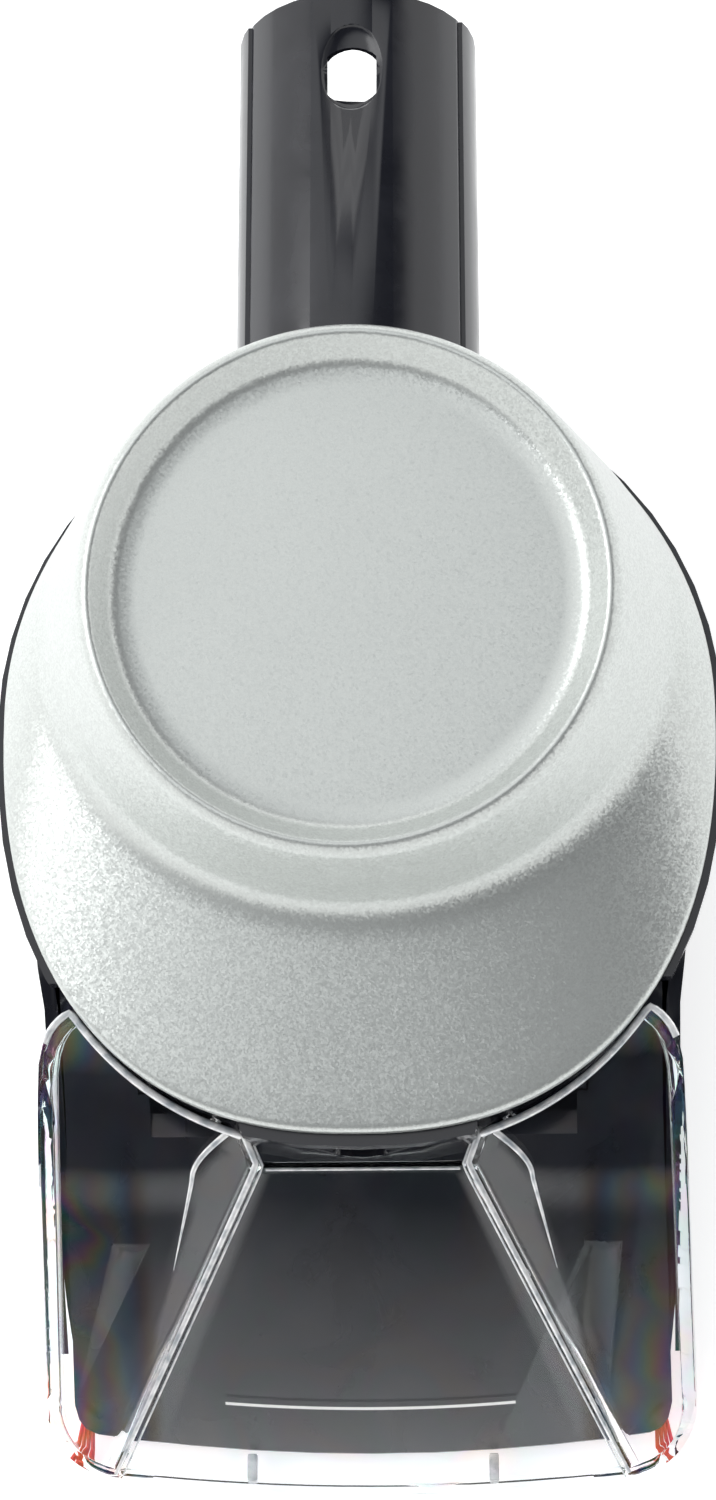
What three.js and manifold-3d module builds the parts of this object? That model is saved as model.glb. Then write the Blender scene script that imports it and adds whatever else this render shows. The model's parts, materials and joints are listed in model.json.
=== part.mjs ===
// Hose-end carpet cleaning tool with a dirty-water tank. Millimetres, +Z up, +Y towards the hose collar,
// +X to the user's right. The origin lies on the table, under the widest line of the tank.
import * as THREE from "three";
import { mergeVertices } from "three/addons/utils/BufferGeometryUtils.js";
import Module from "manifold-3d";

const wasm = await Module();
wasm.setup();

// ---------- driving dimensions ----------
const GAP = 0.3; // clearance between pieces that touch
const BIG = 400; // size of a cutting block
const ROUND_STEPS = 52; // points round a tank outline

const AXIS_Z = 50; // height of the collar axis, and of the tank rim
const COLLAR_END_Y = 119.5;
const COLLAR_R = 20.2;
const COLLAR_WALL = 2.8;
const COLLAR_SPLIT = 8.8; // parting line above the collar axis
const COLLAR_STEP = 0.5; // how far the upper shell sits inside the lower one
const COLLAR_START_Y = 59; // where the collar leaves the body
const LATCH_Y = 104.5; // centre of the latch hole
const LATCH_HOLE_R = 5.4;
const LATCH_FLAT = 8.1; // distance between the flats of the latch hole
const LATCH_DISH_LENGTH = 16;
const LATCH_DISH_WIDTH = 11.6;
const LATCH_DISH_DEPTH = 2;
const BULKHEAD_T = 3; // wall that closes the inner end of the collar
const LUG_HALF = 12; // half width of the web that ties the bulkhead to the deck

const RIM_A = 57; // half width of the tank rim
const RIM_FRONT = 67.7;
const RIM_REAR = 58;
const RIM_POWER = 2.35; // superellipse power of the front half
const TANK_WALL = 2.2;
const RIM_EDGE = 2; // upright edge at the rim
const WAIST_Z = 10; // height of the change of slope above the rim
const WAIST_A = 50;
const WAIST_FRONT = 46.5;
const WAIST_REAR = 45;
const DISC_Y = 11.8; // centre of the round top, behind the origin
const DISC_Z = 30;
const DISC_R = 41.4;
const DISC_TILT = 5.5; // degrees, leaning to the front
const DISH_R = 36; // radius of the recessed disc
const DISH_DEPTH = 4.6;

const DECK_DROP = 0.3; // deck top below the rim plane
const DECK_T = 3;
const FLANGE = 1.3; // how far the seat flange stands out past the rim
const FLANGE_FRONT = 1.9; // the same between the horns of the cover
const NOSE_OUT = 1.5; // face of the spray wall between the horns, past the rim
const SEAL_W = 3;
const SEAL_T = 0.9;
const SPIGOT_IN = 5; // register rib, inside the rim
const SPIGOT_T = 1.6;
const SPIGOT_H = 1.3;
const SEAL_IN = 0.5; // tank seal, inside the rim
const HORN_CUT_Y = -43.4; // rear end of the step that the cover's wings sit in
const WALL_T = 2.2; // body walls

const LIP_Y = -119.5; // front of the clear cover
const LIP_BOTTOM = 2.4; // height of the lip above the table
const TROUGH_TOP_Y = -70.5;
const TROUGH_TOP_Z = -13.5; // from the rim plane
const LIP_TOP_Z = 5.762; // trough floor at the lip, above the table
const TROUGH_TOP_HALF = 15.8;
const TROUGH_LIP_HALF = 42.5;
const WING_RISE = 4; // wings above the trough floor
const HORN_HALF = 18.4; // inner faces of the horns beside the spray wall
const COVER_HALF = 52.5; // at the lip
const COVER_HALF_REAR = 50.6; // beside the tank
const COVER_T = 2.3;
const COVER_CORNER_R = 11;
const COVER_SHOULDER_Y = -60; // where the side walls turn straight
const COVER_REAR_Y = -44; // rear end of the wings
const COVER_FOOT_RISE = 1.2; // foot of the side walls, above the floor's surface
const LIP_SAG = 2.6; // bow of the lip's front edge
const SLOT = 4.8; // opening between lip and floor edge
const FLOOR_GAP = 3.2; // water path under the trough
const FLOOR_T = 2.0;
const FLOOR_REAR_Y = -43.6; // where the nozzle floor and the spray wall end at the rear
const FLOOR_SIDE_GAP = 0.8; // between the floor and the side walls of the cover
const COVER_FRONT_FOOT_Y = -112; // where the foot of the side walls meets the lip
const RIB_X = 19.8; // spacer ribs in the slot
const RIB_T = 1.6;
const RIB_H = 2.8;
const SIDE_SEAL_W = 1.0;
const SIDE_SEAL_H = 1.0;

const PORT_X = 27.5; // suction ports in the spray wall
const PORT_W = 13;
const PORT_H = 7;
const PORT_Z = -13; // centre of the ports, from the rim plane
const DUCT_FRONT_Y = -58.5;
const DUCT_WALL = 1.5;
const CHIMNEY_Y = -8;
const CHIMNEY_TOP = 12; // above the rim plane
const GROMMET = 1.2; // wall of a grommet between a duct and the deck
const GROMMET_LIP = 0.9; // thickness of its lip on the deck
const OUTLET_X = -4; // the air outlet stands beside the fluid line
const OUTLET_Y = 27;
const OUTLET_R = 10;
const OUTLET_BORE = 8.3;
const OUTLET_RUN_W = 16; // flat run of the outlet under the deck
const OUTLET_RUN_H = 11.6;
const OUTLET_END_Y = 64; // where the run opens into the collar
const OUTLET_TOP = 17;
const CAP_R = 15;
const CAP_T = 1.4;
const CAP_GAP = 4; // between the rim of the outlet duct and the cap
const COLLAR_SEAL_IN = 12; // past the bulkhead's inner face
const COLLAR_SEAL_W = 1.6;
const COLLAR_SEAL_L = 3;
const SPRAY_Z = -8.5;
const SPRAY_R = 4.6;
const SPRAY_SEAT_Y = -60.5; // floor of the recess that holds the spray tip
const SPRAY_BOSS_L = 12.1;
const TIP_R = 2.6;
const TIP_FACE_Y = -67.4;
const TIP_END_Y = -51.8;
const NIPPLE_X = 9.5;
const NIPPLE_Z = -8;
const NIPPLE_R = 2.6;
const NIPPLE_START_Y = 54;
const NIPPLE_END_Y = 98;
const NIPPLE_RING_Y = 93;
const NIPPLE_BORE = 1.2;
const TUBE_R = 2.1;
const TUBE_BORE = 1.2;

const HULL_FRONT_Y = -97;
const HULL_TUCK = 7; // how far the hull draws in at its bottom
const BRUSH_Y = -102.5;
const BRUSH_HALF = 48;
const BRUSH_BASE_T = 2;
const BRUSH_BASE_HALF = 2; // half its depth along the tool
const BRUSH_DROP = 1.4; // below the nozzle floor's underside
const BRISTLE_PITCH = 4.2;
const BRISTLE_R = 0.9;
const BRISTLE_TIP_Z = 0.8;
const SCREW_SPOTS = [
  [42, -24],
  [28, 30],
  [38, -78],
];
const SCREW_R = 1.5;
const SCREW_HEAD_R = 3.2;
const SCREW_HEAD_Z = 2; // underside of a screw's head
const SCREW_HEAD_T = 2.3;
const SCREW_REACH = 6; // of a screw into the upper shell
const BOSS_R = 4;
const BOSS_SPLIT_Z = 30; // highest joint between a lower and an upper boss
const BOSS_DROP = 9; // least depth of an upper boss

const rad = THREE.MathUtils.degToRad;
const SLOPE = (AXIS_Z + TROUGH_TOP_Z - LIP_TOP_Z) / (TROUGH_TOP_Y - LIP_Y); // of the trough, to the lip
const ACROSS = Math.hypot(1, SLOPE); // upright height of a thickness on the slope
const DECK_TOP = AXIS_Z - DECK_DROP;
const DECK_BOTTOM = DECK_TOP - DECK_T;

// ---------- solids ----------
function solid(geometry) {
  const bare = geometry.index ? geometry.toNonIndexed() : geometry.clone();
  bare.deleteAttribute("normal");
  bare.deleteAttribute("uv");
  const merged = mergeVertices(bare, 1e-4);
  return new wasm.Manifold(
    new wasm.Mesh({
      numProp: 3,
      vertProperties: new Float32Array(merged.attributes.position.array),
      triVerts: new Uint32Array(merged.index.array),
    }),
  );
}

function geometryOf(manifold) {
  const mesh = manifold.getMesh();
  const points = new Float32Array(mesh.numVert * 3);
  for (let i = 0; i < mesh.numVert; i++) {
    points.set(mesh.vertProperties.subarray(i * mesh.numProp, i * mesh.numProp + 3), i * 3);
  }
  const geometry = new THREE.BufferGeometry();
  geometry.setAttribute("position", new THREE.BufferAttribute(points, 3));
  geometry.setIndex(new THREE.BufferAttribute(mesh.triVerts, 1));
  geometry.computeVertexNormals();
  return geometry;
}

function box(x0, x1, y0, y1, z0, z1) {
  const geometry = new THREE.BoxGeometry(x1 - x0, y1 - y0, z1 - z0);
  geometry.translate((x0 + x1) / 2, (y0 + y1) / 2, (z0 + z1) / 2);
  return solid(geometry);
}

// A cylinder from one point to another along any direction.
function rod(from, to, radius, sides = 20, endRadius = radius) {
  const a = new THREE.Vector3(...from);
  const b = new THREE.Vector3(...to);
  const along = b.clone().sub(a);
  const geometry = new THREE.CylinderGeometry(endRadius, radius, along.length(), sides);
  const turn = new THREE.Quaternion().setFromUnitVectors(
    new THREE.Vector3(0, 1, 0),
    along.clone().normalize(),
  );
  geometry.applyQuaternion(turn);
  const middle = a.add(b).multiplyScalar(0.5);
  geometry.translate(middle.x, middle.y, middle.z);
  return solid(geometry);
}

// An upright prism over a plan outline.
function prism(points, z0, z1) {
  const geometry = new THREE.ExtrudeGeometry(new THREE.Shape(points), {
    depth: z1 - z0,
    bevelEnabled: false,
    curveSegments: 10,
  });
  geometry.translate(0, 0, z0);
  return solid(geometry);
}

// A side profile, given as [y, z] points, run across the tool from x0 to x1.
function across(profile, x0, x1) {
  const shape = new THREE.Shape(profile.map(([y, z]) => new THREE.Vector2(y, z)));
  const geometry = new THREE.ExtrudeGeometry(shape, { depth: x1 - x0, bevelEnabled: false });
  geometry.applyMatrix4(
    new THREE.Matrix4().makeBasis(
      new THREE.Vector3(0, 1, 0),
      new THREE.Vector3(0, 0, 1),
      new THREE.Vector3(1, 0, 0),
    ),
  );
  geometry.translate(x0, 0, 0);
  return solid(geometry);
}

// A tube or bar of a given section along a list of points.
function sweep(points, radius, sides, steps) {
  const section = new THREE.Shape();
  section.absarc(0, 0, radius, 0, Math.PI * 2, false);
  const path = new THREE.CatmullRomCurve3(points.map((p) => new THREE.Vector3(...p)));
  const geometry = new THREE.ExtrudeGeometry(section, {
    steps,
    bevelEnabled: false,
    curveSegments: Math.ceil(sides / 2),
    extrudePath: path,
  });
  return solid(geometry);
}

// ---------- plan outlines ----------
const signedPower = (value, power) => Math.sign(value) * Math.abs(value) ** power;

// A closed outline with its own front and rear depth, offset outwards by a distance.
function oval(halfWidth, front, rear, centreY, power, offset = 0, steps = ROUND_STEPS) {
  const points = [];
  for (let i = 0; i < steps; i++) {
    const angle = (i / steps) * Math.PI * 2;
    const isFront = Math.sin(angle) < 0;
    const exponent = 2 / (isFront ? power : 2);
    const depth = isFront ? front : rear;
    points.push(
      new THREE.Vector2(
        halfWidth * signedPower(Math.cos(angle), exponent),
        centreY + depth * signedPower(Math.sin(angle), exponent),
      ),
    );
  }
  if (offset === 0) return points;
  return points.map((point, i) => {
    const before = points[(i + steps - 1) % steps];
    const after = points[(i + 1) % steps];
    const normal = new THREE.Vector2(after.y - before.y, before.x - after.x).normalize();
    return point.clone().addScaledVector(normal, offset);
  });
}

const rimOutline = (offset) => oval(RIM_A, RIM_FRONT, RIM_REAR, 0, RIM_POWER, offset);

function mirrored(right) {
  const left = right.map((p) => new THREE.Vector2(-p.x, p.y)).reverse();
  return [...right, ...left];
}

// ---------- tank ----------
// A stack of outlines, each with its tilt, closed to a point at both ends. A lathe gives the mesh,
// and each of its rings is then laid on its own outline.
function stack(levels) {
  const profile = levels.map((_, i) => new THREE.Vector2(1, i));
  const geometry = new THREE.LatheGeometry(
    [new THREE.Vector2(0, 0), ...profile, new THREE.Vector2(0, levels.length - 1)],
    ROUND_STEPS,
  );
  const position = geometry.attributes.position;
  const rings = levels.map((level) =>
    oval(level.a, level.front, level.rear, level.y, level.power, level.offset),
  );
  for (let i = 0; i < position.count; i++) {
    const x = position.getX(i);
    const y = position.getY(i);
    const z = position.getZ(i);
    const level = levels[Math.round(y)];
    const ring = rings[Math.round(y)];
    if (Math.hypot(x, z) < 1e-6) {
      position.setXYZ(i, 0, level.y, level.z);
      continue;
    }
    const turn = Math.atan2(-z, x) / (Math.PI * 2);
    const spot = ring[((Math.round(turn * ROUND_STEPS) % ROUND_STEPS) + ROUND_STEPS) % ROUND_STEPS];
    const rise = (spot.y - level.y) * Math.tan(rad(level.tilt));
    position.setXYZ(i, spot.x, spot.y, level.z + rise);
  }
  return solid(geometry);
}

function level(z, a, front, rear, y, power, tilt, offset = 0) {
  return { z: AXIS_Z + z, a, front, rear, y, power, tilt, offset };
}

function blendLevels(low, high, share, z, offset) {
  const mix = THREE.MathUtils.lerp;
  return level(
    z,
    mix(low.a, high.a, share),
    mix(low.front, high.front, share),
    mix(low.rear, high.rear, share),
    mix(low.y, high.y, share),
    mix(low.power, high.power, share),
    mix(low.tilt, high.tilt, share),
    offset,
  );
}

const rimLevel = level(0, RIM_A, RIM_FRONT, RIM_REAR, 0, RIM_POWER, 0);
const waistLevel = level(WAIST_Z, WAIST_A, WAIST_FRONT, WAIST_REAR, DISC_Y, 2, 0);
const crownLevel = level(DISC_Z, DISC_R, DISC_R, DISC_R, DISC_Y, 2, DISC_TILT);

function tankOuter() {
  const skirt = (share) =>
    blendLevels(rimLevel, waistLevel, share, RIM_EDGE + (WAIST_Z - RIM_EDGE) * share, 0);
  const drum = (share) =>
    blendLevels(waistLevel, crownLevel, share, WAIST_Z + (DISC_Z - 1.6 - WAIST_Z) * share, 0.5);
  const disc = (radius, drop) => level(DISC_Z - drop, radius, radius, radius, DISC_Y, 2, DISC_TILT);
  return stack([
    rimLevel,
    skirt(0),
    skirt(0.5),
    skirt(0.92),
    drum(0.05),
    drum(0.5),
    drum(1),
    disc(DISC_R, 0.6),
    disc(DISC_R - 0.9, 0),
    disc(DISC_R - 1.9, 0.4),
    disc(DISH_R, DISH_DEPTH),
  ]);
}

function tankInner() {
  const wall = (low, high, share, z) => blendLevels(low, high, share, z, -TANK_WALL);
  const disc = (radius, drop) => level(DISC_Z - drop, radius, radius, radius, DISC_Y, 2, DISC_TILT);
  const below = { ...rimLevel, z: AXIS_Z - 1, offset: -TANK_WALL };
  return stack([
    below,
    wall(rimLevel, waistLevel, 0, 0.6),
    wall(rimLevel, waistLevel, 1, WAIST_Z - TANK_WALL),
    wall(waistLevel, crownLevel, 0.9, DISC_Z - DISH_DEPTH - TANK_WALL - 0.8),
    disc(DISH_R - 1, DISH_DEPTH + TANK_WALL),
  ]);
}

function tankBowl() {
  return tankOuter().subtract(tankInner());
}

function tankRimSeal() {
  const top = AXIS_Z - GAP;
  const outer = prism(rimOutline(-SEAL_IN), top - SEAL_T, top);
  const inner = prism(rimOutline(-SEAL_IN - SEAL_W), top - SEAL_T - 1, top + 1);
  return outer.subtract(inner);
}

// ---------- clear cover ----------
const troughZ = (y) => AXIS_Z + TROUGH_TOP_Z + (y - TROUGH_TOP_Y) * SLOPE;

// Half width of the fan-shaped trough at a station along the tool.
function troughHalf(y) {
  const share = (TROUGH_TOP_Y - y) / (TROUGH_TOP_Y - LIP_Y);
  return TROUGH_TOP_HALF + (TROUGH_LIP_HALF - TROUGH_TOP_HALF) * share;
}

function coverPlan(offset) {
  const half = COVER_HALF + offset;
  const radius = COVER_CORNER_R + offset;
  const front = LIP_Y - offset;
  const right = [];
  const cornerSteps = 7;
  for (let i = 0; i <= cornerSteps; i++) {
    const angle = -Math.PI / 2 + (i / cornerSteps) * (Math.PI / 2);
    const x = half - radius + radius * Math.cos(angle);
    const y = front + LIP_SAG + radius + radius * Math.sin(angle);
    right.push(new THREE.Vector2(x, y));
  }
  const rear = COVER_HALF_REAR + offset;
  right.push(new THREE.Vector2(rear, COVER_SHOULDER_Y));
  right.push(new THREE.Vector2(rear - 0.4, -54));
  right.push(new THREE.Vector2(rear - 2.2, -49.8));
  right.push(new THREE.Vector2(rear - 5.6, -47.4));
  right.push(new THREE.Vector2(rear - 9, -46.6));
  const bow = [];
  const bowSteps = 5;
  for (let i = 1; i <= bowSteps; i++) {
    const x = (half - radius) * (i / (bowSteps + 1));
    const share = x / (half - radius);
    bow.push(new THREE.Vector2(x, front + LIP_SAG * share * share));
  }
  return mirrored([new THREE.Vector2(0.01, front), ...bow, ...right]);
}

// Top line of the wings: level at the tank, then down the slope. drop is measured square to it.
function wingProfile(drop, toLip) {
  const fall = drop * ACROSS;
  const straight = [LIP_Y - toLip, -104, -90, -78];
  const line = straight.map((y) => [y, troughZ(y) + WING_RISE - fall]);
  const top = [
    [-70, AXIS_Z - 9 - fall * 0.96],
    [-63, AXIS_Z - 5.2 - fall * 0.92],
    [-55, AXIS_Z - 2.2 - drop * 1.03],
    [-46, AXIS_Z - 0.6 - drop],
    [-36, AXIS_Z - 0.4 - drop],
  ];
  return [...line, ...top];
}

function wingSolid(drop, offset, bottomZ) {
  const line = wingProfile(drop, 2);
  const last = line[line.length - 1];
  const profile = [[LIP_Y - 2, bottomZ], ...line, [last[0], bottomZ]];
  profile.splice(1, 1, [LIP_Y - 2, line[0][1]]);
  const block = across(profile.reverse(), -COVER_HALF - 5, COVER_HALF + 5);
  return block.intersect(prism(coverPlan(offset), -20, AXIS_Z + 20));
}

// Everything above the trough floor, inside the fan. widen moves its walls out, drop lowers it.
function fan(widen, drop) {
  const top = TROUGH_TOP_Y + 20;
  const plan = mirrored([
    new THREE.Vector2(troughHalf(LIP_Y - 6) + widen, LIP_Y - 6),
    new THREE.Vector2(TROUGH_TOP_HALF + widen, TROUGH_TOP_Y),
    new THREE.Vector2(HORN_HALF + widen, TROUGH_TOP_Y + 6),
    new THREE.Vector2(HORN_HALF + widen, top),
  ]);
  const fall = drop * ACROSS;
  const profile = [
    [LIP_Y - 8, troughZ(LIP_Y - 8) - fall],
    [top, troughZ(top) - fall],
    [top, AXIS_Z + 30],
    [LIP_Y - 8, AXIS_Z + 30],
  ];
  return prism(plan, -20, AXIS_Z + 20).intersect(across(profile, -60, 60));
}

// Space that the tank and its seat keep clear of the cover.
function seatClearance() {
  const wings = prism(rimOutline(GAP), AXIS_Z - 30, AXIS_Z + 30);
  const middle = box(-HORN_HALF, HORN_HALF, TROUGH_TOP_Y - 0.2, 0, 0, BIG);
  return wings.add(middle.intersect(prism(rimOutline(FLANGE_FRONT + GAP), 0, BIG)));
}

function nozzleCover() {
  const sideFoot = AXIS_Z - 48;
  const outer = wingSolid(0, 0, sideFoot).subtract(fan(0, 0));
  const inner = wingSolid(COVER_T, -COVER_T, sideFoot - 5).subtract(fan(COVER_T, COVER_T));
  const shell = outer.subtract(inner);
  const lowCut = across(
    [
      [LIP_Y - 10, -20],
      [BIG, -20],
      [BIG, coverFootZ(-40)],
      [-40, coverFootZ(-40)],
      [COVER_FRONT_FOOT_Y + 6, coverFootZ(COVER_FRONT_FOOT_Y + 6)],
      [COVER_FRONT_FOOT_Y, LIP_BOTTOM],
      [LIP_Y - 10, LIP_BOTTOM],
    ],
    -60,
    60,
  );
  let cover = shell.subtract(lowCut).subtract(seatClearance());
  cover = cover.subtract(box(-BIG, BIG, COVER_REAR_Y, BIG, 0, BIG));
  const ribEnd = LIP_Y + COVER_T + SLOT - GAP;
  for (const side of [-1, 1]) {
    const x = side * RIB_X;
    const ribZ = LIP_BOTTOM + 0.6;
    const rib = box(x - RIB_T / 2, x + RIB_T / 2, LIP_Y + 1, ribEnd, ribZ, ribZ + RIB_H);
    cover = cover.add(rib);
  }
  return cover;
}

// Height of the joint between the cover's side walls and the hull.
function coverFootZ(y) {
  return floorZ(y) + COVER_FOOT_RISE;
}

function sideSeal(side) {
  const y0 = HULL_FRONT_Y;
  const y1 = COVER_SHOULDER_Y;
  const low = (y) => coverFootZ(y) - GAP - SIDE_SEAL_H;
  const half = COVER_HALF_REAR - 0.2;
  const strip = across(
    [
      [y0, low(y0)],
      [y1, low(y1)],
      [y1, low(y1) + SIDE_SEAL_H],
      [y0, low(y0) + SIDE_SEAL_H],
    ],
    side > 0 ? half - SIDE_SEAL_W : -half,
    side > 0 ? half : -half + SIDE_SEAL_W,
  );
  return strip;
}

// ---------- black body ----------
const floorZ = (y) => troughZ(y) - (COVER_T + FLOOR_GAP) * ACROSS;

function bodyPlan(offset) {
  const rear = oval(RIM_A + FLANGE, RIM_FRONT, RIM_REAR + FLANGE, 0, 2, offset).filter((p) => p.y >= 0);
  const rearHalf = COVER_HALF_REAR + offset;
  const flank = [
    new THREE.Vector2(COVER_HALF + offset, LIP_Y + COVER_CORNER_R),
    new THREE.Vector2(rearHalf, COVER_SHOULDER_Y),
    new THREE.Vector2(rearHalf - 0.1, -46),
    new THREE.Vector2(rearHalf + 0.8, -38),
    new THREE.Vector2(rearHalf + 2.4, -31),
    new THREE.Vector2(rearHalf + 4.9, -19),
    new THREE.Vector2(rearHalf + 6.9, -7),
  ];
  const left = flank.map((p) => new THREE.Vector2(-p.x, p.y)).reverse();
  return [...flank, ...rear, ...left];
}

// The hull's plan drawn in towards its bottom, with a rounded lower edge.
function hullSolid(offset, z0, z1) {
  const steps = 6;
  const geometry = new THREE.ExtrudeGeometry(new THREE.Shape(bodyPlan(offset)), {
    depth: 1,
    steps,
    bevelEnabled: false,
  });
  const position = geometry.attributes.position;
  for (let i = 0; i < position.count; i++) {
    const rise = position.getZ(i);
    const eased = 1 - (1 - rise) ** 2.6;
    const inset = HULL_TUCK * (1 - eased);
    const x = position.getX(i);
    const y = position.getY(i);
    const rearShare = THREE.MathUtils.clamp(y / RIM_REAR, 0, 1);
    position.setXYZ(
      i,
      x * (1 - inset / RIM_A),
      y - inset * rearShare * 1.6,
      z0 + (z1 - z0) * rise,
    );
  }
  return solid(geometry);
}

function collarTube(radius) {
  return rod([0, COLLAR_START_Y - 14, AXIS_Z], [0, COLLAR_END_Y, AXIS_Z], radius, 36);
}

function collarBore() {
  const radius = COLLAR_R - COLLAR_WALL;
  return rod([0, COLLAR_START_Y + 3, AXIS_Z], [0, BIG, AXIS_Z], radius, 36);
}

// Space above the nozzle floor, ahead of the seat.
function aboveFloor(lift) {
  const y0 = LIP_Y - 30;
  const y1 = -40;
  return across(
    [
      [y0, floorZ(y0) + lift],
      [y1, floorZ(y1) + lift],
      [y1, BIG],
      [y0, BIG],
    ],
    -BIG,
    BIG,
  );
}

function screwBoss(x, y, z1) {
  return rod([x, y, 0], [x, y, z1], BOSS_R, 12);
}

// Height of the upper boss's root: in the nozzle floor at the front, in the deck elsewhere.
function screwTop(y) {
  return y < COVER_SHOULDER_Y ? floorZ(y) - (FLOOR_T - 0.8) * ACROSS : DECK_BOTTOM + 1;
}

// Height where the lower boss ends and the upper one begins.
function bossSplit(y) {
  return Math.min(screwTop(y) - BOSS_DROP, BOSS_SPLIT_Z);
}

function screwPlaces() {
  const places = [];
  for (const [x, y] of SCREW_SPOTS) {
    places.push([-x, y], [x, y]);
  }
  return places;
}

function bodyLowerShell() {
  const rimZ = DECK_BOTTOM - GAP;
  const outer = hullSolid(0, 0, rimZ);
  const inner = hullSolid(-WALL_T, WALL_T, rimZ + 0.01);
  const hollowFront = box(-BIG, BIG, HULL_FRONT_Y + WALL_T, BIG, 0, BIG);
  let shell = outer.subtract(inner.intersect(hollowFront));
  for (const [x, y] of screwPlaces()) {
    shell = shell.add(screwBoss(x, y, bossSplit(y)));
  }
  const under = across(
    [
      [LIP_Y - 10, -1],
      [HULL_FRONT_Y, -1],
      [HULL_FRONT_Y, 0.01],
      [HULL_FRONT_Y - 2.6, 4.2],
      [HULL_FRONT_Y - 2.6, BIG],
      [LIP_Y - 10, BIG],
    ],
    -BIG,
    BIG,
  );
  shell = shell.subtract(under);
  shell = shell.subtract(aboveFloor(-(FLOOR_T * ACROSS) - GAP));
  let sleeve = collarTube(COLLAR_R);
  sleeve = sleeve.intersect(box(-BIG, BIG, 0, BIG, 0, AXIS_Z + COLLAR_SPLIT));
  sleeve = sleeve.subtract(prism(bodyPlan(0.2), DECK_BOTTOM - GAP, BIG));
  shell = shell.add(sleeve).subtract(collarBore());
  shell = shell.subtract(rod([0, 40, AXIS_Z], [0, 63, AXIS_Z], COLLAR_R - COLLAR_WALL, 36));
  shell = shell.subtract(box(-BIG, BIG, -BIG, COLLAR_START_Y + 0.7, rimZ, BIG));
  for (const [x, y] of screwPlaces()) {
    shell = shell.subtract(rod([x, y, -1], [x, y, BIG], SCREW_R + 0.25, 8));
    const pocketTop = SCREW_HEAD_Z + SCREW_HEAD_T + GAP;
    shell = shell.subtract(rod([x, y, -1], [x, y, pocketTop], SCREW_HEAD_R + 0.4, 14));
  }
  return shell;
}

function deck() {
  const wide = prism(rimOutline(FLANGE), DECK_BOTTOM, DECK_TOP);
  const nose = prism(rimOutline(FLANGE_FRONT), DECK_BOTTOM, DECK_TOP);
  const middle = box(-HORN_HALF + GAP, HORN_HALF - GAP, -BIG, 0, 0, BIG);
  let plate = wide.add(nose.intersect(middle));
  const outside = prism(rimOutline(8), 0, BIG).subtract(prism(rimOutline(-GAP), 0, BIG));
  const wings = box(-BIG, BIG, -BIG, HORN_CUT_Y, 0, BIG).subtract(box(-HORN_HALF, HORN_HALF, -BIG, 0, 0, BIG));
  plate = plate.subtract(outside.intersect(wings));
  const groove = prism(rimOutline(GAP - SEAL_IN), DECK_TOP - SEAL_T - GAP, BIG);
  const island = prism(rimOutline(-SEAL_IN - SEAL_W - GAP), 0, BIG);
  plate = plate.subtract(groove.subtract(island));
  const rib = prism(rimOutline(-SPIGOT_IN), DECK_TOP - 1, DECK_TOP + SPIGOT_H);
  const ribCore = prism(rimOutline(-SPIGOT_IN - SPIGOT_T), 0, BIG);
  return plate.add(rib.subtract(ribCore));
}

// Wall under the front of the deck. Between the horns it stands forward, almost flush with the deck's edge.
function sprayWall() {
  const top = DECK_BOTTOM + 0.5;
  const band = prism(rimOutline(-GAP - 0.2), 10, top).subtract(prism(rimOutline(-GAP - 0.2 - WALL_T), 0, BIG));
  const noseHalf = HORN_HALF - GAP;
  const between = (half) => box(-half, half, -BIG, 0, 0, BIG);
  const nose = prism(rimOutline(NOSE_OUT), 10, top).intersect(between(noseHalf));
  const behind = prism(rimOutline(NOSE_OUT - WALL_T), 0, BIG).intersect(between(noseHalf - WALL_T));
  const wall = band.add(nose).subtract(behind);
  const front = box(-BIG, BIG, -BIG, FLOOR_REAR_Y, 0, BIG);
  const belowFloor = across(
    [
      [LIP_Y, -20],
      [0, -20],
      [0, floorZ(0) - FLOOR_T * ACROSS],
      [LIP_Y, floorZ(LIP_Y) - FLOOR_T * ACROSS],
    ],
    -BIG,
    BIG,
  );
  return wall.intersect(front).subtract(belowFloor);
}

function nozzleFloor() {
  const frontY = LIP_Y + COVER_T + SLOT;
  const half = COVER_HALF - COVER_T - FLOOR_SIDE_GAP;
  const rear = COVER_HALF_REAR - COVER_T - FLOOR_SIDE_GAP;
  const bowed = (x) => frontY + LIP_SAG * (x / (half - 8)) ** 2;
  const plan = mirrored([
    ...[0.1, 10, 20, 30, 38, half - 4].map((x) => new THREE.Vector2(x, bowed(x))),
    new THREE.Vector2(half - 2.2, bowed(half - 4) + 0.8),
    new THREE.Vector2(half - 1.1, bowed(half - 4) + 2.2),
    new THREE.Vector2(half - 0.5, bowed(half - 4) + 4.6),
    new THREE.Vector2(rear, COVER_SHOULDER_Y),
    new THREE.Vector2(rear, FLOOR_REAR_Y),
  ]);
  const slab = across(
    [
      [LIP_Y, floorZ(LIP_Y) - FLOOR_T * ACROSS],
      [-30, floorZ(-30) - FLOOR_T * ACROSS],
      [-30, floorZ(-30)],
      [LIP_Y, floorZ(LIP_Y)],
    ],
    -60,
    60,
  );
  const seat = prism(rimOutline(-GAP - 0.4), -50, BIG);
  return slab.intersect(prism(plan, -20, DECK_BOTTOM + 1)).subtract(seat);
}

function collarUpper() {
  const tube = collarTube(COLLAR_R - COLLAR_STEP).intersect(
    box(-BIG, BIG, COLLAR_START_Y + 0.2, BIG, AXIS_Z + COLLAR_SPLIT + GAP, BIG),
  );
  return tube.subtract(collarBore());
}

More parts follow.
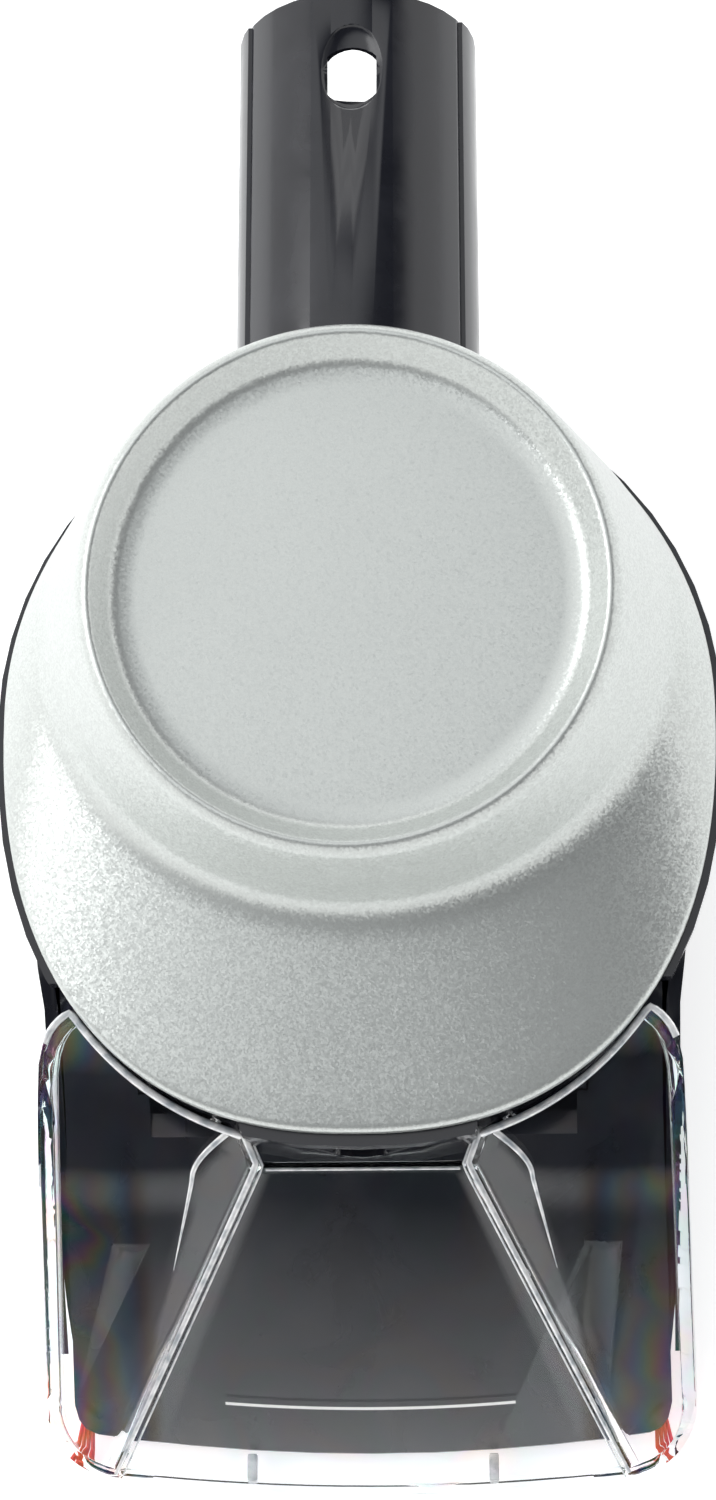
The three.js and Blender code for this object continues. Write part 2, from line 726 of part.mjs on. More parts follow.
// Bulkhead between the tank's rear wall and the bore of the collar.
function bulkhead() {
  const disc = rod(
    [0, COLLAR_START_Y + 0.2, AXIS_Z],
    [0, COLLAR_START_Y + 0.2 + BULKHEAD_T, AXIS_Z],
    COLLAR_R - COLLAR_WALL - GAP,
    36,
  );
  const lug = box(-LUG_HALF, LUG_HALF, RIM_REAR + 0.4, COLLAR_START_Y + BULKHEAD_T, DECK_BOTTOM, DECK_TOP);
  const bridge = collarTube(COLLAR_R - COLLAR_STEP).intersect(
    box(-BIG, BIG, COLLAR_START_Y, COLLAR_START_Y + 0.2 + BULKHEAD_T, AXIS_Z + COLLAR_SPLIT + GAP, BIG),
  );
  return disc.add(lug).add(bridge);
}

function latchHole() {
  const dish = new THREE.SphereGeometry(1, 24, 14);
  dish.scale(LATCH_DISH_WIDTH / 2, LATCH_DISH_LENGTH / 2, LATCH_DISH_DEPTH);
  dish.translate(0, LATCH_Y + 1, AXIS_Z + COLLAR_R - COLLAR_STEP + 0.1);
  const hole = rod([0, LATCH_Y, AXIS_Z], [0, LATCH_Y, AXIS_Z + 30], LATCH_HOLE_R, 28);
  const flats = box(-LATCH_FLAT / 2, LATCH_FLAT / 2, 0, BIG, 0, BIG);
  return solid(dish).add(hole.intersect(flats));
}

function roundedOutline(halfW, halfH, radius) {
  const shape = new THREE.Shape();
  shape.moveTo(-halfW + radius, -halfH);
  shape.absarc(halfW - radius, -halfH + radius, radius, -Math.PI / 2, 0, false);
  shape.absarc(halfW - radius, halfH - radius, radius, 0, Math.PI / 2, false);
  shape.absarc(-halfW + radius, halfH - radius, radius, Math.PI / 2, Math.PI, false);
  shape.absarc(-halfW + radius, -halfH + radius, radius, Math.PI, Math.PI * 1.5, false);
  return shape.getPoints(3);
}

// Outline of a suction duct, grown by a distance.
const ductSection = (grow) => roundedOutline(PORT_W / 2 + grow, PORT_H / 2 + grow, 2 + grow);

// Turns an upright extrusion so that it runs towards +Y.
function levelRun() {
  return new THREE.Matrix4().makeBasis(
    new THREE.Vector3(-1, 0, 0),
    new THREE.Vector3(0, 0, 1),
    new THREE.Vector3(0, 1, 0),
  );
}

// A level run from the port to the rear, and an upright chimney, met at a mitre.
function ductBody(side, grow, inset) {
  const x = side * PORT_X;
  const portZ = AXIS_Z + PORT_Z;
  const frontY = DUCT_FRONT_Y + inset;
  const run = new THREE.ExtrudeGeometry(new THREE.Shape(ductSection(grow)), {
    depth: CHIMNEY_Y + PORT_H / 2 + grow - frontY,
    bevelEnabled: false,
  });
  run.applyMatrix4(levelRun());
  run.translate(x, frontY, portZ);
  const chimney = prism(ductSection(grow), portZ - PORT_H / 2 - grow, AXIS_Z + CHIMNEY_TOP - inset);
  return solid(run).add(chimney.translate([x, CHIMNEY_Y, 0]));
}

function suctionDuct(side) {
  const outer = ductBody(side, DUCT_WALL, 0);
  const bore = ductBody(side, 0, -1);
  return outer.subtract(bore);
}

function ductHole(side, grow) {
  const plan = ductSection(grow).map((p) => new THREE.Vector2(p.x + side * PORT_X, p.y + CHIMNEY_Y));
  return prism(plan, 0, BIG);
}

function ductSeal(side) {
  const hole = ductHole(side, DUCT_WALL + GAP);
  const neck = ductHole(side, DUCT_WALL + GAP + GROMMET).intersect(
    box(-BIG, BIG, -BIG, BIG, DECK_BOTTOM - 0.6, DECK_TOP + GROMMET_LIP),
  );
  const flange = ductHole(side, DUCT_WALL + GAP + GROMMET * 2).intersect(
    box(-BIG, BIG, -BIG, BIG, DECK_TOP + GAP, DECK_TOP + GROMMET_LIP + GAP),
  );
  return neck.add(flange).subtract(hole);
}

function portHoles() {
  let holes = null;
  for (const side of [-1, 1]) {
    const x = side * PORT_X;
    const z = AXIS_Z + PORT_Z;
    const hole = box(x - PORT_W / 2, x + PORT_W / 2, -75, -50, z - PORT_H / 2, z + PORT_H / 2);
    holes = holes ? holes.add(hole) : hole;
  }
  return holes;
}

function sprayBoss() {
  const y = -RIM_FRONT - NOSE_OUT + 0.4;
  return rod([0, y, AXIS_Z + SPRAY_Z], [0, y + SPRAY_BOSS_L, AXIS_Z + SPRAY_Z], SPRAY_R + 1.6, 24);
}

function bodyUpperShell() {
  let shell = deck().add(sprayWall()).add(nozzleFloor());
  shell = shell.add(sprayBoss());
  shell = shell.add(collarUpper()).add(bulkhead());
  for (const [x, y] of screwPlaces()) {
    const bottom = bossSplit(y) + GAP;
    shell = shell.add(rod([x, y, bottom], [x, y, screwTop(y)], BOSS_R, 12));
    shell = shell.subtract(rod([x, y, 0], [x, y, bottom + SCREW_REACH + 1], SCREW_R + 0.05, 8));
  }
  shell = shell.subtract(portHoles());
  for (const side of [-1, 1]) {
    shell = shell.subtract(ductHole(side, DUCT_WALL + GROMMET + GAP * 2));
    const behindPort = box(-BIG, BIG, DUCT_FRONT_Y - GAP, BIG, 0, BIG);
    shell = shell.subtract(ductBody(side, DUCT_WALL + GAP, -GAP).intersect(behindPort));
  }
  shell = shell.subtract(outletPipe(OUTLET_R + GROMMET + GAP * 2, 0, BIG));
  shell = shell.subtract(outletRun(GAP, 45, COLLAR_START_Y + 6));
  const sprayZ = AXIS_Z + SPRAY_Z;
  shell = shell.subtract(rod([0, SPRAY_SEAT_Y - 30, sprayZ], [0, SPRAY_SEAT_Y, sprayZ], SPRAY_R, 24));
  shell = shell.subtract(rod([0, SPRAY_SEAT_Y - 1.5, sprayZ], [0, -50, sprayZ], TIP_R + 0.4, 20));
  const nippleZ = AXIS_Z + NIPPLE_Z;
  shell = shell.subtract(rod([NIPPLE_X, 40, nippleZ], [NIPPLE_X, 80, nippleZ], NIPPLE_R + GAP, 20));
  shell = shell.subtract(latchHole());
  return shell;
}

// ---------- pieces inside ----------
// An upright round stretch of the air outlet.
function outletPipe(radius, z0, z1) {
  return rod([OUTLET_X, OUTLET_Y, z0], [OUTLET_X, OUTLET_Y, z1], radius, 28);
}

// The flat run of the air outlet under the deck, grown by a distance.
function outletRun(grow, y0, y1) {
  const middle = DECK_BOTTOM - 0.4 - OUTLET_RUN_H / 2;
  const halfW = OUTLET_RUN_W / 2 + grow;
  const halfH = OUTLET_RUN_H / 2 + grow;
  const run = new THREE.ExtrudeGeometry(
    new THREE.Shape(roundedOutline(halfW, halfH, OUTLET_RUN_H / 2 - 0.4 + grow)),
    { depth: y1 - y0, bevelEnabled: false },
  );
  run.applyMatrix4(levelRun());
  run.translate(OUTLET_X, y0, middle);
  return solid(run);
}

function outletDuct() {
  const top = AXIS_Z + OUTLET_TOP;
  const low = DECK_BOTTOM - 0.4 - OUTLET_RUN_H;
  const wall = OUTLET_R - OUTLET_BORE;
  const outer = outletPipe(OUTLET_R, low, top).add(outletRun(0, OUTLET_Y, OUTLET_END_Y));
  const bore = outletPipe(OUTLET_BORE, low + wall, top + 1);
  return outer.subtract(bore).subtract(outletRun(-wall, OUTLET_Y, OUTLET_END_Y + 1));
}

function outletDuctSeal() {
  const neck = outletPipe(OUTLET_R + GAP + GROMMET, DECK_BOTTOM, DECK_TOP + GROMMET_LIP);
  const lip = outletPipe(OUTLET_R + GAP + GROMMET * 2, DECK_TOP + GAP, DECK_TOP + GROMMET_LIP + GAP);
  return neck.add(lip).subtract(outletPipe(OUTLET_R + GAP, 0, BIG));
}

// A shallow cap on four legs that stand on the rim of the outlet duct.
function splashCap() {
  const top = AXIS_Z + OUTLET_TOP;
  const capZ = top + CAP_GAP;
  const outer = outletPipe(CAP_R, capZ - 2, capZ + CAP_T + 0.2);
  let cap = outer.subtract(outletPipe(CAP_R - CAP_T, capZ - 3, capZ));
  const middleR = (OUTLET_R + OUTLET_BORE) / 2;
  for (let i = 0; i < 4; i++) {
    const angle = Math.PI / 4 + (i * Math.PI) / 2;
    const x = OUTLET_X + middleR * Math.cos(angle);
    const y = OUTLET_Y + middleR * Math.sin(angle);
    cap = cap.add(box(x - 0.7, x + 0.7, y - 0.7, y + 0.7, top + GAP, capZ + 0.6));
  }
  return cap;
}

function collarSeal() {
  const y = COLLAR_START_Y + COLLAR_SEAL_IN;
  const outer = COLLAR_R - COLLAR_WALL - GAP;
  const ring = rod([0, y, AXIS_Z], [0, y + COLLAR_SEAL_L, AXIS_Z], outer, 36);
  const inner = rod([0, y - 1, AXIS_Z], [0, y + COLLAR_SEAL_L + 1, AXIS_Z], outer - COLLAR_SEAL_W, 36);
  return ring.subtract(inner);
}

function solutionNipple() {
  const z = AXIS_Z + NIPPLE_Z;
  const at = (y) => [NIPPLE_X, y, z];
  const tube = rod(at(NIPPLE_START_Y), at(NIPPLE_END_Y), NIPPLE_R, 16);
  const collarY = COLLAR_START_Y + BULKHEAD_T + GAP * 2;
  const collar = rod(at(collarY), at(collarY + 1.8), NIPPLE_R + 0.8, 16);
  const groove = rod(at(NIPPLE_RING_Y - 1), at(NIPPLE_RING_Y + 1), NIPPLE_R + 1, 16).subtract(
    rod(at(NIPPLE_RING_Y - 2), at(NIPPLE_RING_Y + 2), NIPPLE_R - 0.7, 16),
  );
  const bore = rod(at(NIPPLE_START_Y - 4), at(NIPPLE_END_Y + 2), NIPPLE_BORE, 8);
  return tube.add(collar).subtract(groove).subtract(bore);
}

function nippleRing() {
  const profile = [];
  for (let i = 0; i <= 8; i++) {
    const angle = (i / 8) * Math.PI * 2;
    profile.push(new THREE.Vector2(NIPPLE_R + 0.25 + 0.6 * Math.cos(angle), 0.6 * Math.sin(angle)));
  }
  const geometry = new THREE.LatheGeometry(profile, 16);
  geometry.translate(NIPPLE_X, NIPPLE_RING_Y, AXIS_Z + NIPPLE_Z);
  return solid(geometry);
}

function solutionTube() {
  const z = AXIS_Z + NIPPLE_Z;
  const route = [
    [NIPPLE_X, NIPPLE_START_Y - 0.4, z],
    [NIPPLE_X + 1.5, 46, z - 1],
    [12, 34, z - 5],
    [11, 16, z - 7],
    [7, -8, z - 7],
    [2, -30, z - 4],
    [0, -44, AXIS_Z + SPRAY_Z - 0.6],
    [0, TIP_END_Y + 0.3, AXIS_Z + SPRAY_Z],
  ];
  return sweep(route, TUBE_R, 8, 22).subtract(sweep(extend(route, 1), TUBE_BORE, 6, 22));
}

// The same route, run on past both ends.
function extend(route, length) {
  const points = route.map((p) => new THREE.Vector3(...p));
  const first = points[0];
  const last = points[points.length - 1];
  const start = first.clone().add(first.clone().sub(points[1]).setLength(length));
  const end = last.clone().add(last.clone().sub(points[points.length - 2]).setLength(length));
  return [start, ...points, end].map((p) => p.toArray());
}

function sprayTip() {
  const z = AXIS_Z + SPRAY_Z;
  const headEndY = SPRAY_SEAT_Y - 1.3;
  const head = rod([0, TIP_FACE_Y, z], [0, headEndY, z], TIP_R + 0.9, 20, TIP_R);
  const stem = rod([0, headEndY - 1, z], [0, TIP_END_Y, z], TIP_R, 20);
  const slit = box(-BIG, BIG, TIP_FACE_Y - 2, TIP_FACE_Y + 0.5, z - 0.35, z + 0.35);
  const hole = rod([0, TIP_FACE_Y - 1, z], [0, TIP_END_Y + 2, z], 0.7, 10);
  return head.add(stem).subtract(slit).subtract(hole);
}

function sprayTipSeal() {
  const z = AXIS_Z + SPRAY_Z;
  const ring = rod([0, SPRAY_SEAT_Y - 1, z], [0, SPRAY_SEAT_Y - GAP, z], SPRAY_R - GAP, 20);
  return ring.subtract(rod([0, SPRAY_SEAT_Y - 2, z], [0, SPRAY_SEAT_Y + 1, z], TIP_R + GAP, 20));
}

function brushStrip() {
  const baseTop = floorZ(BRUSH_Y) - FLOOR_T * ACROSS - GAP - BRUSH_DROP;
  const front = BRUSH_Y - BRUSH_BASE_HALF;
  const rear = BRUSH_Y + BRUSH_BASE_HALF;
  let strip = box(-BRUSH_HALF, BRUSH_HALF, front, rear, baseTop - BRUSH_BASE_T, baseTop);
  const count = Math.floor((2 * BRUSH_HALF - 4) / BRISTLE_PITCH);
  for (let i = 0; i <= count; i++) {
    const x = (i - count / 2) * BRISTLE_PITCH;
    strip = strip.add(
      rod([x, BRUSH_Y, BRISTLE_TIP_Z], [x, BRUSH_Y, baseTop - 1], BRISTLE_R * 0.8, 6, BRISTLE_R),
    );
  }
  return strip;
}

function bodyScrew(x, y) {
  const top = SCREW_HEAD_Z + SCREW_HEAD_T;
  const head = rod([x, y, SCREW_HEAD_Z], [x, y, top], SCREW_HEAD_R, 14);
  const shank = rod([x, y, top - 0.3], [x, y, bossSplit(y) + SCREW_REACH], SCREW_R - 0.2, 8);
  const drive = box(x - 0.5, x + 0.5, y - 2, y + 2, 0, SCREW_HEAD_Z + 1.2).add(
    box(x - 2, x + 2, y - 0.5, y + 0.5, 0, SCREW_HEAD_Z + 1.2),
  );
  return head.add(shank).subtract(drive);
}

// ---------- assembly ----------
function material(color, roughness, metalness, opacity = 1) {
  return new THREE.MeshStandardMaterial({
    color,
    roughness,
    metalness,
    opacity,
    transparent: opacity < 1,
  });
}

const blackPlastic = () => material(0x2b2c31, 0.25, 0);
const silverPlastic = () => material(0xb9c1c0, 0.35, 0.4);
const clearPlastic = () => material(0xe8eef0, 0.05, 0, 0.3);
const rubber = () => material(0x1c1c1e, 0.7, 0);
const steel = () => material(0xb0b3b5, 0.3, 1);
const paleTube = () => material(0xd8dcd8, 0.4, 0);
const redNylon = () => material(0xd23b2e, 0.5, 0);

const tool = new THREE.Group();

function addPiece(parent, name, manifold, look) {
  const mesh = new THREE.Mesh(geometryOf(manifold), look);
  mesh.name = name;
  parent.add(mesh);
}

const body = new THREE.Group();
const tank = new THREE.Group();
tool.add(body, tank);

addPiece(body, "body_lower_shell", bodyLowerShell(), blackPlastic());
addPiece(body, "body_upper_shell", bodyUpperShell(), blackPlastic());
addPiece(body, "nozzle_cover", nozzleCover(), clearPlastic());
for (const [side, word] of [[-1, "left"], [1, "right"]]) {
  addPiece(body, "nozzle_side_seal_" + word, sideSeal(side), rubber());
  addPiece(body, "suction_duct_" + word, suctionDuct(side), blackPlastic());
  addPiece(body, "suction_duct_seal_" + word, ductSeal(side), rubber());
}
addPiece(body, "outlet_duct", outletDuct(), blackPlastic());
addPiece(body, "outlet_duct_seal", outletDuctSeal(), rubber());
addPiece(body, "splash_cap", splashCap(), blackPlastic());
addPiece(body, "collar_seal", collarSeal(), rubber());
addPiece(body, "solution_nipple", solutionNipple(), blackPlastic());
addPiece(body, "solution_nipple_o_ring", nippleRing(), rubber());
addPiece(body, "solution_tube", solutionTube(), paleTube());
addPiece(body, "spray_tip", sprayTip(), blackPlastic());
addPiece(body, "spray_tip_seal", sprayTipSeal(), rubber());
addPiece(body, "brush_strip", brushStrip(), redNylon());
screwPlaces().forEach(([x, y], i) => {
  addPiece(body, "body_screw_" + (i + 1), bodyScrew(x, y), steel());
});
addPiece(tank, "tank_bowl", tankBowl(), silverPlastic());
addPiece(tank, "tank_rim_seal", tankRimSeal(), rubber());

export default tool;
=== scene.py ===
"""Finished look of a hose-end carpet cleaning tool: silver tank, clear nozzle cover and black body."""

import json
import math

import bmesh
import bpy
from mathutils import Matrix, Vector


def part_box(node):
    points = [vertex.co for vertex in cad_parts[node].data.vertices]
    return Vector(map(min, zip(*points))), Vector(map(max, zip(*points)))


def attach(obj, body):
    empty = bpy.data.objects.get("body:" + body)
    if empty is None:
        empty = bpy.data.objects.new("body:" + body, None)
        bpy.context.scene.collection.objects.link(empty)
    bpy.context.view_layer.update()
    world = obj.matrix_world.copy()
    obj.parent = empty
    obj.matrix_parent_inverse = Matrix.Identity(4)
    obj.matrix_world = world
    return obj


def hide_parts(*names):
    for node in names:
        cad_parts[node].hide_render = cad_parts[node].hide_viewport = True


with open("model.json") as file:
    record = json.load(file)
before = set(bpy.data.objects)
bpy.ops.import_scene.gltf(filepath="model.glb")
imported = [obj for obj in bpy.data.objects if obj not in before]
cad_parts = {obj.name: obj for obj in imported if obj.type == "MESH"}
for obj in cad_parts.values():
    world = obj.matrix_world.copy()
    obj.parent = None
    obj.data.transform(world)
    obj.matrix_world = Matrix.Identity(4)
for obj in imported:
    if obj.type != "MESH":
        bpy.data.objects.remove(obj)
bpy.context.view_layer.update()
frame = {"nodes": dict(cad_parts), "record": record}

bl_info = {
    "name": "Carpet Cleaning Hose Tool",
    "version": (1, 0, 0),
    "blender": (4, 5, 0),
    "location": "3D View > Sidebar > Hose Tool",
    "description": "Builds the finished pieces, materials and studio for a carpet cleaning hose tool",
    "category": "Object",
}

MM = 0.001  # shapes are worked out in millimetres and scaled once at the end

# ---- sizes shared with the part, in millimetres ----
RIM_Z = 50.0  # plane of the tank rim, and height of the collar axis
RIM_HALF, RIM_FRONT, RIM_REAR, RIM_POWER = 57.0, 67.7, 58.0, 2.35
WAIST_RISE, WAIST_HALF, WAIST_FRONT, WAIST_REAR = 10.0, 50.0, 46.5, 45.0
CROWN_RISE, CROWN_R, CROWN_Y, CROWN_TILT = 30.0, 41.4, 11.8, 5.5
DISH_R, DISH_DEPTH = 36.0, 4.6
RIM_GAP = 0.3  # between the tank rim and the cover
COLLAR_START_Y = 59.0  # where the collar leaves the body
TROUGH_TOP_Y, TROUGH_TOP_Z = -70.5, 36.5
TROUGH_SLOPE = math.tan(math.radians(32.1))
TROUGH_TOP_HALF, TROUGH_LIP_HALF, HORN_HALF = 15.8, 42.5, 18.4
LIP_Y, LIP_SAG, LIP_BOTTOM = -119.5, 2.6, 2.4
WING_RISE = 4.0
SIDE_HALF_FRONT, SIDE_HALF_REAR = 52.5, 50.6
CORNER_R = 11.0
SIDE_REAR_Y = -60.0
FOOT_DROP = 5.3  # foot of the side walls, below the plane of the trough
BRUSH_Y, BRUSH_HALF = -102.5, 48.0

# ---- rounding of the clear cover, in millimetres ----
WALL_LEAN = 0.5  # from the foot of the fan's wall out to its top
SHOULDER_LEAST = 2.4  # least spread of the shoulder
CREST_START_Y, CREST_START_HALF = -66.0, 20.6  # where the crest leaves the horn
CREST_ARC_LENGTH, CREST_ARC_WIDTH = 7.0, 6.2
CREST_WIDENING = 0.28  # of the crest beyond its arc, for each millimetre
REAR_CORNER_WIDTH, REAR_CORNER_LENGTH, REAR_CORNER_POWER = 9, 13.4, 2.4
CORNER_WALL_HALF = 45.2  # outside this the rear edge is turned down too
FOOT_TURN_Y, FOOT_TURN_LENGTH = -106.0, 6  # where the foot of the walls bends to the lip
CREASE_ROUNDING = 0.8

# ---- beads with a painted white highlight along the cover's edges: radius at the start and at the end, in millimetres ----
RIM_BEAD = (0.66, 0.6)
HORN_TOP_BEAD = (0.56, 0.4)
HORN_FOOT_BEAD = (0.3, 0.26)
SHOULDER_BEAD = (0.55, 0.05)
HEAD_BEAD = (0.24, 0.24)

# ---- small pieces of the nozzle, in millimetres ----
RIB_SIZE, RIB_HALF = (1.6, 4.4, 2.8), 19.8
LINE_Y, LINE_LENGTH, LINE_WIDTH, LINE_BOW = -106.4, 47.0, 0.42, 0.9
TUFT_PITCH, TUFT_ROW_PITCH, STRAY_TUFTS = 1.3, 1.6, 4


def linear(hex_colour):
    """An sRGB hex colour as linear red, green, blue and alpha."""
    out = []
    for start in (1, 3, 5):
        value = int(hex_colour[start : start + 2], 16) / 255
        out.append(value / 12.92 if value <= 0.04045 else ((value + 0.055) / 1.055) ** 2.4)
    return (*out, 1.0)


def lerp(a, b, share):
    return a + (b - a) * share


def clamp(value, low=0.0, high=1.0):
    return max(low, min(high, value))


# ---------------------------------------------------------------- materials
def add(tree, kind, settings=None, links=None):
    """Adds a node, sets its properties and sockets, and links outputs of other nodes into it."""
    made = tree.nodes.new(kind)
    for key, value in (settings or {}).items():
        if isinstance(key, str) and hasattr(made, key):
            setattr(made, key, value)
        else:
            made.inputs[key].default_value = value
    for socket, output in (links or {}).items():
        tree.links.new(output, made.inputs[socket])
    return made


def blank_material(name):
    """An empty material with its output node, its surface shader and the piece's own coordinates."""
    made = bpy.data.materials.get(name)
    if made is not None:
        return made, None, None, None
    made = bpy.data.materials.new(name)
    made.use_nodes = True
    tree = made.node_tree
    tree.nodes.clear()
    shader = add(tree, "ShaderNodeBsdfPrincipled")
    add(tree, "ShaderNodeOutputMaterial", links={"Surface": shader.outputs["BSDF"]})
    place = add(tree, "ShaderNodeTexCoord").outputs["Object"]
    return made, tree, shader, place


def ramp(tree, fac, stops):
    """A colour ramp with (position, linear colour) stops."""
    made = add(tree, "ShaderNodeValToRGB", links={"Fac": fac})
    points = made.color_ramp.elements
    while len(points) < len(stops):
        points.new(0.5)
    for point, (position, colour) in zip(points, stops):
        point.position = position
        point.color = colour
    return made.outputs["Color"]


def per_metre(size_mm):
    """Texture scale that gives features of a size in millimetres."""
    return 1.0 / (size_mm * MM)


def silver_flake_abs(looks):
    """Silver ABS moulded with aluminium flake: pale grey, satin, with a fine sparkle."""
    made, tree, shader, place = blank_material("silver_flake_abs")
    if tree is None:
        return made
    # Real flakes are about 0.05 mm; they are drawn at 0.3 mm so that the sparkle shows.
    flakes = add(
        tree,
        "ShaderNodeTexVoronoi",
        {"Scale": per_metre(0.3), "Randomness": 1.0},
        {"Vector": place},
    )
    tilt = add(
        tree,
        "ShaderNodeVectorMath",
        {"operation": "MULTIPLY_ADD", 1: (0.14, 0.14, 0.14), 2: (-0.07, -0.07, -0.07)},
        {0: flakes.outputs["Color"]},
    )
    normal = add(tree, "ShaderNodeNewGeometry").outputs["Normal"]
    leaning = add(
        tree, "ShaderNodeVectorMath", {"operation": "ADD"}, {0: normal, 1: tilt.outputs["Vector"]}
    )
    unit = add(
        tree, "ShaderNodeVectorMath", {"operation": "NORMALIZE"}, {0: leaning.outputs["Vector"]}
    )
    tree.links.new(unit.outputs["Vector"], shader.inputs["Normal"])
    shade = add(tree, "ShaderNodeSeparateColor", links={"Color": flakes.outputs["Color"]})
    # Slow streaks where the melt flowed, about 18 mm across.
    flow = add(
        tree,
        "ShaderNodeTexNoise",
        {"Scale": per_metre(18), "Detail": 2.0, "Roughness": 0.5},
        {"Vector": place},
    )
    mixed = add(
        tree,
        "ShaderNodeMath",
        {"operation": "MULTIPLY_ADD", 1: 0.25},
        {0: flow.outputs["Fac"], 2: shade.outputs["Red"]},
    )
    base = Vector(looks.silver[:3])
    colours = ramp(
        tree,
        mixed.outputs["Value"],
        [(0.0, (*(base * 0.9), 1)), (0.55, (*base, 1)), (1.0, (*(base * 1.1), 1))],
    )
    tree.links.new(colours, shader.inputs["Base Color"])
    shader.inputs["Metallic"].default_value = 0.6
    shader.inputs["Roughness"].default_value = 0.34
    shader.inputs["Coat Weight"].default_value = 0.25
    shader.inputs["Coat Roughness"].default_value = 0.22
    return made


def black_gloss_abs(looks):
    """Black ABS from a polished mould: deep charcoal, glossy, with faint finger smears and orange peel."""
    made, tree, shader, place = blank_material("black_gloss_abs")
    if tree is None:
        return made
    smear = add(
        tree,
        "ShaderNodeTexNoise",
        {"Scale": per_metre(16), "Detail": 4.0, "Roughness": 0.62, "Distortion": 0.6},
        {"Vector": place},
    )
    rough = add(
        tree,
        "ShaderNodeMapRange",
        {"From Min": 0.38, "From Max": 0.7, "To Min": 0.12, "To Max": 0.24},
        {"Value": smear.outputs["Fac"]},
    )
    tree.links.new(rough.outputs["Result"], shader.inputs["Roughness"])
    base = Vector(looks.black[:3])
    colours = ramp(
        tree,
        smear.outputs["Fac"],
        [(0.35, (*(base * 0.86), 1)), (0.75, (*(base * 1.22), 1))],
    )
    tree.links.new(colours, shader.inputs["Base Color"])
    # Orange peel of the mould's polish, a few millimetres across and a few microns deep.
    peel = add(
        tree, "ShaderNodeTexNoise", {"Scale": per_metre(3.2), "Detail": 1.0}, {"Vector": place}
    )
    bump = add(
        tree,
        "ShaderNodeBump",
        {"Strength": 0.5, "Distance": 0.00002},
        {"Height": peel.outputs["Fac"]},
    )
    tree.links.new(bump.outputs["Normal"], shader.inputs["Normal"])
    shader.inputs["IOR"].default_value = 1.53
    return made


def clear_styrene(looks):
    """Clear moulded styrene: water-clear, sharp gloss, with faint rainbow strain left by the moulding."""
    made, tree, shader, place = blank_material("clear_moulded_styrene")
    if tree is None:
        return made
    # Strain bands run with the flow, about 15 mm apart, and turn slowly from teal to violet.
    strain = add(
        tree,
        "ShaderNodeTexNoise",
        {"Scale": per_metre(15), "Detail": 1.0, "Distortion": 0.9},
        {"Vector": place},
    )
    tint = ramp(
        tree,
        strain.outputs["Fac"],
        [
            (0.30, linear("#FFFFFF")),
            (0.42, linear("#F7FAFF")),
            (0.50, linear("#F0FCF8")),
            (0.56, linear("#F9F2FC")),
            (0.62, linear("#FFF7F0")),
            (0.72, linear("#FFFFFF")),
        ],
    )
    tree.links.new(tint, shader.inputs["Base Color"])
    shader.inputs["Transmission Weight"].default_value = 1.0
    shader.inputs["Roughness"].default_value = 0.015
    shader.inputs["IOR"].default_value = 1.57
    # Strain also colours the reflections in rainbow bands, which run along the outer third of each wing.
    spot = add(tree, "ShaderNodeSeparateXYZ", links={"Vector": place})
    aside = add(tree, "ShaderNodeMath", {"operation": "ABSOLUTE"}, {0: spot.outputs["X"]})
    band = add(
        tree,
        "ShaderNodeMapRange",
        {"From Min": 33 * MM, "From Max": 50 * MM, "To Min": 0.0, "To Max": 620.0},
        {"Value": aside.outputs["Value"]},
    )
    wavy = add(
        tree,
        "ShaderNodeMath",
        {"operation": "MULTIPLY_ADD", 2: 0.6},
        {0: strain.outputs["Fac"], 1: strain.outputs["Fac"]},
    )
    film = add(
        tree,
        "ShaderNodeMath",
        {"operation": "MULTIPLY"},
        {0: band.outputs["Result"], 1: wavy.outputs["Value"]},
    )
    tree.links.new(film.outputs["Value"], shader.inputs["Thin Film Thickness"])
    shader.inputs["Thin Film IOR"].default_value = 1.42
    # Lamps shine through the thin walls instead of casting a solid shadow.
    lamp_path = add(tree, "ShaderNodeLightPath").outputs["Is Shadow Ray"]
    passing = add(tree, "ShaderNodeBsdfTransparent", {"Color": (0.9, 0.92, 0.93, 1)})
    mix = add(
        tree,
        "ShaderNodeMixShader",
        links={"Fac": lamp_path, 1: shader.outputs["BSDF"], 2: passing.outputs["BSDF"]},
    )
    out = next(n for n in tree.nodes if n.type == "OUTPUT_MATERIAL")
    tree.links.new(mix.outputs["Shader"], out.inputs["Surface"])
    return made


def painted_highlight_styrene(looks):
    """Rounded edges of the clear moulding, painted white: a painted highlight for the light that their
    walls pipe along them.
    """
    made, tree, shader, place = blank_material("painted_highlight_styrene")
    if tree is None:
        return made
    # The painted highlight comes and goes along the edge, every few millimetres.
    beat = add(
        tree,
        "ShaderNodeTexNoise",
        {"Scale": per_metre(2.2), "Detail": 2.0},
        {"Vector": place},
    )
    # Painted highlight: grey to white base colour along the clear edges.
    glow = ramp(
        tree,
        beat.outputs["Fac"],
        [(0.32, linear("#B9C0C6")), (0.62, linear("#FFFFFF"))],
    )
    tree.links.new(glow, shader.inputs["Base Color"])
    shader.inputs["Transmission Weight"].default_value = 0.3
    shader.inputs["Roughness"].default_value = 0.12
    shader.inputs["IOR"].default_value = 1.57
    return made


